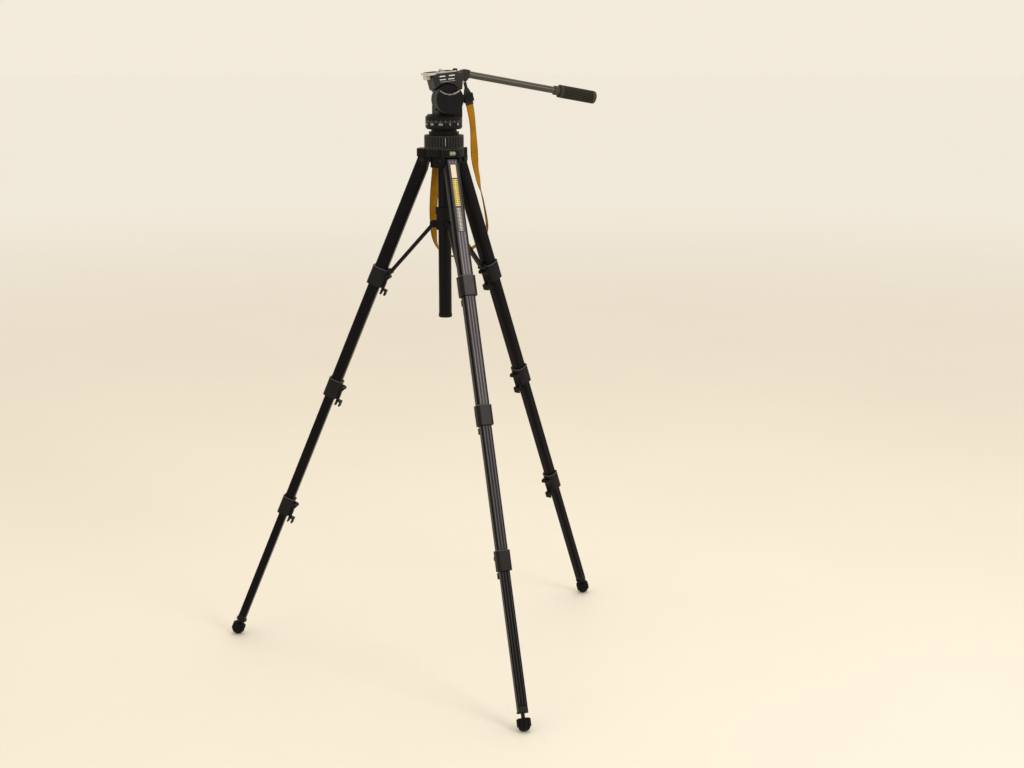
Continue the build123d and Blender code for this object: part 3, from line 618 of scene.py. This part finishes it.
def nylon_finish():
    material, spot = new_finish("natural_nylon")
    cloud = spot.noise(60.0, 3.0)
    tint = cloud.mix((0.60, 0.58, 0.53), (0.70, 0.68, 0.63))
    return coat(material, {"Base Color": tint, "Roughness": 0.4 + 0.15 * cloud}, cloud, 0.0001)


def vial_finish(place):
    material, spot = new_finish("level_vial")
    across = measure(spot, place, 1)
    side = abs(across)
    spirit = spot.noise(200.0, 2.0).mix((0.060, 0.085, 0.010), (0.100, 0.125, 0.018))
    lit = side.rise(1.6, 2.2) * (1.0 - side.rise(3.6, 4.2))
    cap = side.rise(6.2, 6.6)
    glow = lit.mix(spirit, (0.26, 0.27, 0.12))
    sockets = {
        "Base Color": cap.mix(glow, (0.015, 0.015, 0.015)),
        "Roughness": 0.08 + 0.4 * cap,
        "Coat Weight": 1.0 - cap,
    }
    return coat(material, sockets)


level_turn = Matrix.Rotation(math.radians(leg_azimuths["front"]), 4, "Z")
level_front = level_turn @ Matrix.Translation((0.055, 0.0, 1.1225))
vial_radius = 0.0049
vial_length = 0.0158
vial_round = 0.0014
dress("shoulder", shoulder_finish())
dress("leg_hinge_bolts", dark_steel)
dress("column_bush", nylon_finish())
vial = bmesh.new()
bmesh.ops.create_cone(
    vial, cap_ends=True, segments=40, radius1=vial_radius, radius2=vial_radius, depth=vial_length
)
vial_ends = [edge for edge in vial.edges if len({round(v.co.z, 5) for v in edge.verts}) == 1]
bmesh.ops.bevel(vial, geom=vial_ends, offset=vial_round, segments=4, profile=0.5, affect="EDGES")
for face in vial.faces:
    face.smooth = True
lying = level_front @ Matrix.Rotation(math.radians(90.0), 4, "X")
vial_piece = add_piece("level_vial", vial, vial_finish(level_front), lying, "stand")
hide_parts("bubble_vial")
bolt_end = 0.0225
cap_radius = 0.0046
cap_flatness = 0.34
dome = bmesh.new()
bmesh.ops.create_uvsphere(dome, u_segments=24, v_segments=12, radius=cap_radius)
dome.transform(Matrix.Diagonal((1.0, cap_flatness, 1.0, 1.0)))
for face in dome.faces:
    face.smooth = True
for leg, azimuth in leg_azimuths.items():
    turn = Matrix.Rotation(math.radians(azimuth), 4, "Z")
    hinge = turn @ Matrix.Translation((hinge_radius, 0.0, hinge_height))
    for side, label in ((1, "a"), (-1, "b")):
        cap = Matrix.Translation((0.0, side * bolt_end, 0.0))
        add_piece(f"{leg}_bolt_cap_{label}", dome.copy(), dark_steel, hinge @ cap, "stand")
dome.free()


# Brace: three flat struts riveted to the first locks, and a moulded hub that slides on the column.
# The struts are black anodised bar, rubbed along their length by folding.
def strut_finish():
    material, spot = new_finish("strut_anodised")
    streak = spot.noise(260.0, 4.0, 0.6)
    rub = streak.rise(0.55, 0.78)
    tint = rub.mix((0.011, 0.0105, 0.011), (0.030, 0.028, 0.0285))
    sockets = {
        "Base Color": tint,
        "Metallic": 0.5,
        "Specular IOR Level": 0.08,
        "Roughness": 0.30 + 0.2 * streak,
    }
    return coat(material, sockets, streak, 0.0001)


strut_bar = strut_finish()
dress("brace_hub", black_plastic)
strut_pivot = Matrix.Translation((-0.0230, 0.0, -0.2570))
rivet_radius = 0.0027
rivet_flatness = 0.4
rivet_offset = 0.0079
for leg, azimuth in leg_azimuths.items():
    dress(f"{leg}_strut", strut_bar)
    rivet = bmesh.new()
    bmesh.ops.create_uvsphere(rivet, u_segments=16, v_segments=8, radius=rivet_radius)
    flat = Matrix.Diagonal((1.0, rivet_flatness, 1.0, 1.0))
    rivet.transform(Matrix.Translation((0.0, -rivet_offset, 0.0)) @ flat)
    rivets = repeated(rivet, 2, math.pi, (0.0, 0.0, 0.0), dark_steel)
    place = leg_place(azimuth) @ strut_pivot
    add_piece(f"{leg}_strut_rivets", rivets, dark_steel, place, f"{leg}_upper")


# Centre column: a plain black anodised tube with a plastic end cap below and a cast platform on top.
# The fluted ring above the shoulder clamps it; a light index line marks its locked place.
def column_finish():
    material, spot = new_finish("column_anodised")
    wide = spot.along((1.0, 0.0, 0.0))
    deep = spot.along((0.0, 1.0, 0.0))
    high = spot.along((0.0, 0.0, 1.0))
    streak = (900.0 * wide).joined(900.0 * deep, 9.0 * high).noise(1.0, 4.0, 0.6)
    rub = streak.rise(0.58, 0.80)
    tint = rub.mix((0.0085, 0.008, 0.0085), (0.024, 0.0228, 0.0232))
    sockets = {
        "Base Color": tint,
        "Metallic": 0.55,
        "Specular IOR Level": 0.08,
        "Roughness": 0.27 + 0.22 * streak,
    }
    return coat(material, sockets, streak, 0.0001)


def fluted_finish(name, dark, crest, place, axes, radius):
    """Dark plastic whose crests, at a radius in millimetres round a placed axis, are lighter; on the drag
    knob this is a painted highlight.
    """
    material, spot = new_finish(name)
    first = measure(spot, place, axes[0])
    second = measure(spot, place, axes[1])
    rim = (first * first + second * second).rise((radius - 0.6) ** 2, (radius - 0.1) ** 2)
    cloud = spot.noise(60.0, 4.0)
    grit = spot.noise(1200.0, 2.0)
    sockets = {
        "Base Color": (rim * (0.4 + 0.6 * cloud)).mix(dark, crest),
        "Specular IOR Level": 0.08,
        "Roughness": 0.38 + 0.18 * (grit - 0.5) + 0.1 * cloud,
    }
    return coat(material, sockets, grit, 0.00012)


casting = plastic_finish(
    "satin_black_casting", (0.0042, 0.0040, 0.0040), (0.0080, 0.0076, 0.0076), 700.0, 0.36
)
ring_plastic = fluted_finish(
    "ring_plastic", (0.0060, 0.0057, 0.0058), (0.034, 0.0315, 0.031), Matrix.Identity(4), (0, 1), 42.5
)
dress("centre_column", column_finish())
dress("column_end_cap", black_plastic)
dress("column_platform", casting)
dress("column_lock_ring", ring_plastic)
index_low = (0.0419, -0.0007, 1.1375)
index_high = (0.0428, 0.0007, 1.1545)
index_edge = 0.0002
index_turn = Matrix.Rotation(math.radians(-86.0), 4, "Z")
index_mark = rounded_block(index_low, index_high, index_edge)
index_line = print_finish("index_line_paint", (0.30, 0.28, 0.26), (0.15, 0.14, 0.13))
add_piece("ring_index_line", index_mark, index_line, index_turn, "lock_ring")


# Pan housing: a black moulding that turns on the pan base, with a graduated drum round its foot.
# Faded graduations and white numbers are printed on the drum; the lock knob at the back clamps it.
black_moulding = plastic_finish(
    "black_moulding", (0.0055, 0.0052, 0.0052), (0.0100, 0.0094, 0.0094), 1000.0, 0.42
)
white_print = print_finish("white_print", (0.66, 0.64, 0.60), (0.42, 0.40, 0.36))
faded_print = print_finish("faded_print", (0.16, 0.15, 0.135), (0.09, 0.085, 0.075))
head_turn = Matrix.Rotation(math.radians(20.0), 4, "Z")
drum_radius = 0.0395
tick_bottom = 1.1865
tick_root = 0.0003
number_step = 30
number_size = 0.0058
number_height = 1.1808
number_gap = 0.00004
number_thickness = 0.00008
dress("pan_base", casting)
dress("pan_housing", black_moulding)
dress("pan_lock_knob", black_plastic)


def add_ticks(name, count, half_width, proud, top):
    """Ticks printed at equal angles round the drum."""
    low = (drum_radius - tick_root, -half_width, tick_bottom)
    tick = rounded_block(low, (drum_radius + proud, half_width, top), 0.0)
    ticks = repeated(tick, count, math.radians(360.0 / count), (0.0, 0.0, 0.0), faded_print)
    add_piece(name, ticks, faded_print, head_turn, "pan")


add_ticks("drum_short_ticks", 72, 0.0003, 0.0001, 1.1890)
add_ticks("drum_long_ticks", 24, 0.0005, 0.00012, 1.1910)


def drum_numbers(step, size, height):
    """Numbers bent round the drum, as one bmesh in the head's frame."""
    together = bmesh.new()
    for value in range(0, 360, step):
        words = bpy.data.curves.new("number", "FONT")
        words.body = str(value)
        words.size = size
        words.align_x = "CENTER"
        words.resolution_u = 2
        words.extrude = number_thickness
        holder = bpy.data.objects.new("number", words)
        bpy.context.collection.objects.link(holder)
        seen = holder.evaluated_get(bpy.context.evaluated_depsgraph_get())
        mesh = bpy.data.meshes.new_from_object(seen)
        for corner in mesh.vertices:
            angle = math.radians(value - 90.0) + corner.co.x / drum_radius
            radius = drum_radius + number_gap + corner.co.z
            corner.co = (radius * math.cos(angle), radius * math.sin(angle), height + corner.co.y)
        together.from_mesh(mesh)
        bpy.data.objects.remove(holder)
        bpy.data.curves.remove(words)
        bpy.data.meshes.remove(mesh)
    return together


numbers = drum_numbers(number_step, number_size, number_height)
add_piece("drum_numbers", numbers, white_print, head_turn, "pan")


# Drag knob: a round black knob on the end of the tilt axle, fluted round its skirt.
# A thumb scallop is cut from its rim, its edge lit by a painted highlight strip, and a shallow ring is
# turned in its face.
tilt_height = 1.235
knob_front = -0.041
scallop_centre = 0.0435
scallop_front_radius = 0.0345
scallop_slope = 0.0035 / 0.005
scallop_half_angle = 42.0
scallop_parts = 40
band_start = 0.0003
band_end = 0.0040
band_height = 0.0001
face_ring_radius = 0.0125
face_ring_parts = 64
face_ring_bead = 0.0005
face_ring_lift = 0.0001
knob_centre = head_turn @ Matrix.Translation((0.0, 0.0, tilt_height))
# Painted highlight: the light crests of the knob's skirt flutes.
knob_plastic = fluted_finish(
    "knob_plastic", (0.0065, 0.0062, 0.0062), (0.075, 0.069, 0.062), knob_centre, (0, 2), 31.0
)
# Painted highlight: the light grey strip along the scallop's edge.
polished_edge = plastic_finish("polished_edge", (0.20, 0.19, 0.18), (0.30, 0.28, 0.26), 1200.0, 0.30)
dress("drag_knob", knob_plastic)


def scallop_band():
    """Painted highlight strip on the sloping floor of the thumb scallop, in the head's frame."""
    shape = bmesh.new()
    rings = []
    corners = ((band_start, 0.0), (band_end, 0.0), (band_end, band_height), (band_start, band_height))
    for part in range(scallop_parts + 1):
        angle = math.radians(scallop_half_angle * (2.0 * part / scallop_parts - 1.0))
        ring = []
        for depth, lift in corners:
            radius = scallop_front_radius - depth * scallop_slope - lift
            height = tilt_height + scallop_centre - radius * math.cos(angle)
            ring.append(shape.verts.new((radius * math.sin(angle), knob_front + depth, height)))
        rings.append(ring)
    for before, after in zip(rings, rings[1:]):
        for side in range(4):
            turn = (side + 1) % 4
            shape.faces.new((before[side], before[turn], after[turn], after[side]))
    shape.faces.new(rings[0])
    shape.faces.new(rings[-1])
    bmesh.ops.recalc_face_normals(shape, faces=shape.faces)
    return shape


add_piece("knob_scallop_band", scallop_band(), polished_edge, head_turn, "drag")
ring_points = []
for part in range(face_ring_parts):
    angle = 2.0 * math.pi * part / face_ring_parts
    height = tilt_height + face_ring_radius * math.sin(angle)
    ring_points.append((face_ring_radius * math.cos(angle), knob_front + face_ring_lift, height))
face_ring = bead(ring_points, face_ring_bead)
add_piece("knob_face_ring", face_ring, knob_plastic, head_turn, "drag")


# Tilting body: a charcoal moulded shell with the boss for the handle at its rear.
# Two rows of plain white index bars and a row of fine dashes are printed on its side.
rest_tilt = math.radians(-5.5)
tilt_place = knob_centre @ Matrix.Rotation(rest_tilt, 4, "Y")
body_half_width = 0.0270
bar_proud = 0.00012
bar_root = 0.0002
skirt_top = 0.0460
skirt_slope = math.radians(10.0)
charcoal = plastic_finish("charcoal_moulding", (0.022, 0.0205, 0.021), (0.034, 0.0315, 0.0325), 1000.0, 0.42)
dress("tilt_body", charcoal)


def side_bars(name, count, first, pitch, length, tall, height):
    """A row of printed bars on the side of the tilting body."""
    drop = max(0.0, skirt_top - height)
    lean = -skirt_slope if drop else 0.0
    face = -body_half_width + drop * math.tan(skirt_slope)
    bar = rounded_block((0.0, -bar_proud, -tall / 2), (length, bar_root, tall / 2), 0.0)
    row = repeated(bar, count, 0.0, (pitch, 0.0, 0.0), white_print)
    seat = Matrix.Translation((first, face, height)) @ Matrix.Rotation(lean, 4, "X")
    add_piece(name, row, white_print, tilt_place @ seat, "tilt")


side_bars("side_bars_upper", 2, -0.0140, 0.0210, 0.0130, 0.0022, 0.0490)
side_bars("side_bars_lower", 2, -0.0140, 0.0190, 0.0140, 0.0026, 0.0425)
side_bars("side_dashes", 9, -0.0120, 0.0038, 0.0024, 0.0008, 0.0375)


# Camera plate: a pale moulded plate in two rails on the body, with a front lip and a sprung catch.
# A ribbed cork-rubber pad is glued on top, and the camera screw comes up through both.
def pad_finish():
    material, spot = new_finish("cork_rubber")
    chip = spot.noise(900.0, 4.0, 0.7)
    tint = chip.mix((0.030, 0.028, 0.026), (0.085, 0.075, 0.062))
    return coat(material, {"Base Color": tint, "Roughness": 0.75 + 0.2 * chip}, chip, 0.0003)


pale_plastic = plastic_finish("pale_plate_plastic", (0.50, 0.47, 0.41), (0.58, 0.55, 0.49), 1300.0, 0.45)
plate_top = 0.0580
pad_half_width = 0.0195
pad_height = 0.0006
pad_edge = 0.0002
pad_rib_pitch = 0.0024
pad_rib_half_width = 0.0190
pad_rib_low = plate_top + 0.0004
pad_rib_high = plate_top + 0.0011
pad_rib_edge = 0.0003
pad_margin = 0.002
pad_rubber = pad_finish()
dress("camera_plate", pale_plastic)
dress("camera_screw", steel_finish("plated_steel", (0.45, 0.45, 0.46), 0.25))
dress("plate_catch", black_plastic)
pad_halves = ((-0.0335, -0.0070), (0.0040, 0.0250))
for label, (start, end) in zip(("front", "rear"), pad_halves):
    pad_corner = (end, pad_half_width, plate_top + pad_height)
    pad = rounded_block((start, -pad_half_width, plate_top), pad_corner, pad_edge)
    add_piece(f"plate_pad_{label}", pad, pad_rubber, tilt_place, "plate")
    pad_rib_count = int((end - start - pad_margin) / pad_rib_pitch)
    low = (start + pad_rib_pitch / 2, -pad_rib_half_width, pad_rib_low)
    high = (start + pad_rib_pitch, pad_rib_half_width, pad_rib_high)
    pad_rib = rounded_block(low, high, pad_rib_edge)
    rib_row = repeated(pad_rib, pad_rib_count, 0.0, (pad_rib_pitch, 0.0, 0.0), pad_rubber)
    add_piece(f"plate_pad_ribs_{label}", rib_row, pad_rubber, tilt_place, "plate")


# Pan handle: a grey-bronze anodised tube fixed in the boss, with a fluted rubber grip on its end.
# The tube is satin with faint draw marks, and the crests of the grip's flutes are painted lighter as a
# painted highlight.
handle_start = Matrix.Translation((0.0615, 0.0, 0.0453))
handle_place = tilt_place @ handle_start @ Matrix.Rotation(math.radians(105.56), 4, "Y")


def handle_finish():
    material, spot = new_finish("grey_bronze_tube")
    wide = measure(spot, handle_place, 0)
    deep = measure(spot, handle_place, 1)
    reach = measure(spot, handle_place, 2)
    streak = (wide * 1.2).joined(deep * 1.2, reach * 0.02).noise(1.0, 4.0, 0.6)
    tint = streak.mix((0.050, 0.048, 0.038), (0.085, 0.081, 0.066))
    sockets = {"Base Color": tint, "Metallic": 0.8, "Roughness": 0.30 + 0.16 * streak}
    return coat(material, sockets, streak, 0.0001)


def grip_finish():
    material, spot = new_finish("grip_rubber")
    wide = measure(spot, handle_place, 0)
    deep = measure(spot, handle_place, 1)
    reach = measure(spot, handle_place, 2)
    ferrule = 1.0 - reach.rise(214.6, 215.2)
    cap = reach.rise(293.5, 295.5)
    # Painted highlight: the flute crests are lightened towards an olive grey.
    crest = (wide * wide + deep * deep).rise(174.0, 192.0)
    grit = spot.noise(1600.0, 2.0)
    cloud = spot.noise(120.0, 4.0)
    rubber = (crest * (0.5 + 0.5 * cloud)).mix((0.0045, 0.0042, 0.0036), (0.050, 0.046, 0.036))
    capped = cap.mix(rubber, (0.050, 0.046, 0.036))
    tint = ferrule.mix(capped, (0.056, 0.052, 0.042))
    sockets = {"Base Color": tint, "Specular IOR Level": 0.1, "Roughness": 0.52 + 0.2 * cloud}
    return coat(material, sockets, grit, 0.0002)


dress("handle_tube", handle_finish())
dress("handle_grip", grip_finish())


# Carrying strap: ochre woven webbing 20 mm wide, sewn into a black tab and slide that hook on the boss.
# It hangs in one long loop with a half twist behind the right leg and ends in the shoulder's eye.
def webbing_finish():
    material, spot = new_finish("ochre_webbing")
    uv = spot.node("ShaderNodeUVMap", {"uv_map": "weave"})
    across = 1000.0 * uv.along((1.0, 0.0, 0.0))
    reach = 1000.0 * uv.along((0.0, 1.0, 0.0))
    weft = (reach * (2.0 * math.pi / 1.5)).wave()
    warp = (across * (2.0 * math.pi / 1.25)).wave()
    cloth = 0.5 + 0.25 * weft + 0.25 * warp * weft
    fade = spot.noise(28.0, 4.0, 0.6)
    fuzz = spot.noise(2600.0, 2.0)
    border = abs(across).rise(8.4, 9.0)
    yarn = cloth.mix((0.22, 0.092, 0.003), (0.385, 0.178, 0.006))
    worn = (fade.rise(0.35, 0.75) * 0.6).mix(yarn, (0.42, 0.220, 0.012))
    sockets = {
        "Base Color": (0.75 * border).mix(worn, (0.120, 0.065, 0.012)),
        "Specular IOR Level": 0.05,
        "Roughness": 0.72 + 0.2 * (fuzz - 0.5),
    }
    return coat(material, sockets, cloth + 0.4 * fuzz, 0.00035)


strap_route = (
    (0.0550, 0.0200, 1.2260),
    (0.0600, 0.0220, 1.2000),
    (0.0630, 0.0270, 1.1720),
    (0.0645, 0.0360, 1.1420),
    (0.0660, 0.0455, 1.1130),
    (0.0690, 0.0560, 1.0850),
    (0.0750, 0.0700, 1.0560),
    (0.0820, 0.0840, 1.0280),
    (0.0880, 0.0970, 0.9980),
    (0.0930, 0.1080, 0.9700),
    (0.0955, 0.1190, 0.9460),
    (0.0900, 0.1270, 0.9240),
    (0.0740, 0.1270, 0.9080),
    (0.0520, 0.1170, 0.8940),
    (0.0300, 0.1030, 0.8850),
    (0.0080, 0.0890, 0.8860),
    (-0.0100, 0.0800, 0.8980),
    (-0.0200, 0.0730, 0.9170),
    (-0.0240, 0.0670, 0.9410),
    (-0.0250, 0.0620, 0.9680),
    (-0.0245, 0.0580, 0.9960),
    (-0.0230, 0.0550, 1.0240),
    (-0.0200, 0.0525, 1.0520),
    (-0.0175, 0.0505, 1.0780),
    (-0.0155, 0.0485, 1.1000),
    (-0.0147, 0.0472, 1.1153),
)
strap_width_azimuths = (40.0, 54.0, 40.0, 65.0, 95.0, 100.0, 105.0, 110.0, 90.0, 50.0, 30.0, 20.0, 17.5)
strap_half_width = 0.0100
strap_half_thickness = 0.0008
flat_share = 0.96
flat_parts = 8
tilt_bend_reach = 0.055
pan_bend_reach = 0.112


def smooth_route(points):
    """Points read from the smooth spline that the route controls."""
    line = bpy.data.curves.new("strap_line", "CURVE")
    line.dimensions = "3D"
    line.resolution_u = 10
    spline = line.splines.new("NURBS")
    spline.points.add(len(points) - 1)
    for place, point in zip(spline.points, points):
        place.co = (*point, 1.0)
    spline.order_u = 3
    spline.use_endpoint_u = True
    holder = bpy.data.objects.new("strap_line", line)
    bpy.context.collection.objects.link(holder)
    seen = holder.evaluated_get(bpy.context.evaluated_depsgraph_get())
    mesh = bpy.data.meshes.new_from_object(seen)
    smooth = [corner.co.copy() for corner in mesh.vertices]
    bpy.data.objects.remove(holder)
    bpy.data.curves.remove(line)
    bpy.data.meshes.remove(mesh)
    return smooth


def strap_azimuth(share):
    place = share * (len(strap_width_azimuths) - 1)
    step = min(int(place), len(strap_width_azimuths) - 2)
    part = place - step
    part = part * part * (3.0 - 2.0 * part)
    return math.radians(strap_width_azimuths[step] * (1.0 - part) + strap_width_azimuths[step + 1] * part)


def strap_frames(points):
    """Centre, across and flat directions, and distance along, at each point of the strap's line."""
    reach = [0.0]
    for before, after in zip(points, points[1:]):
        reach.append(reach[-1] + (after - before).length)
    frames = []
    for index, point in enumerate(points):
        along = (points[min(index + 1, len(points) - 1)] - points[max(index - 1, 0)]).normalized()
        angle = strap_azimuth(reach[index] / reach[-1])
        level = Vector((math.cos(angle), math.sin(angle), 0.0))
        across = (level - along * level.dot(along)).normalized()
        frames.append((point, across, along.cross(across), reach[index]))
    return frames


def webbing(frames):
    """A flat band with rounded selvedges along the frames, with the weave's own map."""
    shares = [flat_share * (1.0 - 2.0 * part / flat_parts) for part in range(flat_parts + 1)]
    outline = [(strap_half_width * share, strap_half_thickness) for share in shares]
    outline.append((-strap_half_width, 0.0))
    outline += [(-strap_half_width * share, -strap_half_thickness) for share in shares]
    outline.append((strap_half_width, 0.0))
    shape = bmesh.new()
    weave = shape.loops.layers.uv.new("weave")
    rings = []
    for centre, across, flat, reach in frames:
        rings.append([shape.verts.new(centre + across * wide + flat * deep) for wide, deep in outline])
    count = len(outline)
    for step in range(len(frames) - 1):
        for side in range(count):
            after = (side + 1) % count
            spots = ((side, step), (after, step), (after, step + 1), (side, step + 1))
            face = shape.faces.new([rings[ring][place] for place, ring in spots])
            face.smooth = True
            for loop, (place, ring) in zip(face.loops, spots):
                loop[weave].uv = (outline[place][0], frames[ring][3])
    shape.faces.new(list(reversed(rings[0])))
    shape.faces.new(rings[-1])
    return shape


ochre = webbing_finish()
frames = strap_frames(smooth_route(strap_route))
tab_top = Vector((0.0454, 0.0165, 1.2703))
top_end = max(index for index, item in enumerate(frames) if item[3] < tilt_bend_reach)
upper_end = max(index for index, item in enumerate(frames) if item[3] < pan_bend_reach)
runs = (
    ("strap_top", frames[: top_end + 1], "tilt", "pan", tab_top),
    ("strap_upper", frames[top_end : upper_end + 1], "pan", "column", frames[top_end][0]),
)


def add_webbing(name, part):
    shape = webbing(part)
    bmesh.ops.recalc_face_normals(shape, faces=shape.faces)
    mesh = bpy.data.meshes.new(name)
    shape.to_mesh(mesh)
    shape.free()
    mesh.materials.append(ochre)
    piece = bpy.data.objects.new(name, mesh)
    bpy.context.collection.objects.link(piece)
    return piece


for name, part, upper_body, lower_body, bend_start in runs:
    piece = add_webbing(name, part)
    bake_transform(piece)
loop_part = frames[upper_end:]
strap_loop = add_webbing("strap_loop", loop_part)
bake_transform(strap_loop)
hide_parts("strap")
loop_length = loop_part[-1][3] - loop_part[0][3]

tab_run = Vector(strap_route[0]) - tab_top
tab_length = tab_run.length
tab_level = Vector((math.cos(strap_azimuth(0.0)), math.sin(strap_azimuth(0.0)), 0.0))
tab_across = (tab_level - tab_run * tab_level.dot(tab_run) / tab_run.length_squared).normalized()
tab_flat = tab_across.cross(tab_run).normalized()
tab_turn = Matrix((tab_across, tab_run.normalized(), tab_flat)).transposed()
tab_place = Matrix.Translation(tab_top) @ tab_turn.to_4x4()
tab_rows = 14
tab_lap = 0.0045
tab_half_width = 0.0105
tab_neck_half = 0.0035
tab_neck_share = 0.25
tab_flare = 0.023
tab_half_thickness = 0.0015
tab_edge = 0.0007
sharp_angle = 0.5


def tab_shape():
    """Folded tab: narrow at the hook, widening to the webbing, with rounded edges."""
    shape = bmesh.new()
    sections = []
    for row in range(tab_rows):
        along = (tab_length + tab_lap) * row / (tab_rows - 1)
        flare = tab_flare * max(0.0, along / tab_length - tab_neck_share)
        half = min(tab_half_width, tab_neck_half + flare)
        corners = ((-half, -1), (half, -1), (half, 1), (-half, 1))
        sections.append([shape.verts.new((x, along, z * tab_half_thickness)) for x, z in corners])
    for above, below in zip(sections, sections[1:]):
        for side in range(4):
            after = (side + 1) % 4
            shape.faces.new((above[side], above[after], below[after], below[side]))
    shape.faces.new(sections[0])
    shape.faces.new(sections[-1])
    bmesh.ops.recalc_face_normals(shape, faces=shape.faces)
    sharp = [edge for edge in shape.edges if edge.calc_face_angle() > sharp_angle]
    bmesh.ops.bevel(shape, geom=sharp, offset=tab_edge, segments=2, profile=0.5, affect="EDGES")
    return shape


tab_vinyl = plastic_finish("tab_vinyl", (0.014, 0.0135, 0.013), (0.026, 0.024, 0.022), 600.0, 0.52)
tab_piece = add_piece("strap_end_tab", tab_shape(), tab_vinyl, tab_place, None)
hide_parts("strap_tab")
tab_pieces = [tab_piece]
slide_half_width = 0.0132
slide_half_thickness = 0.0034
slide_edge = 0.0011
slide_low = (-slide_half_width, 0.56 * tab_length, -slide_half_thickness)
slide_high = (slide_half_width, 0.96 * tab_length, slide_half_thickness)
slide = rounded_block(slide_low, slide_high, slide_edge)
tab_pieces.append(add_piece("strap_slide", slide, black_plastic, tab_place, None))
stitch_thread = print_finish("stitch_thread", (0.10, 0.085, 0.05), (0.05, 0.04, 0.025))
stitch_side = 0.0084
stitch_start = 0.0450
stitch_size = Vector((0.0006, 0.0018, 0.0004))
stitch_edge = 0.0001
stitch_pitch = 0.0024
for face, label in ((tab_half_thickness, "outer"), (-tab_half_thickness, "inner")):
    for side, hand in ((-stitch_side, "left"), (stitch_side, "right")):
        low = Vector((side - stitch_size.x / 2, stitch_start, face - stitch_size.z / 2))
        stitch = rounded_block(low, low + stitch_size, stitch_edge)
        row = repeated(stitch, 2, 0.0, (0.0, stitch_pitch, 0.0), stitch_thread)
        name = f"tab_stitches_{label}_{hand}"
        tab_pieces.append(add_piece(name, row, stitch_thread, tab_place, None))
for piece in tab_pieces:
    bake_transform(piece)
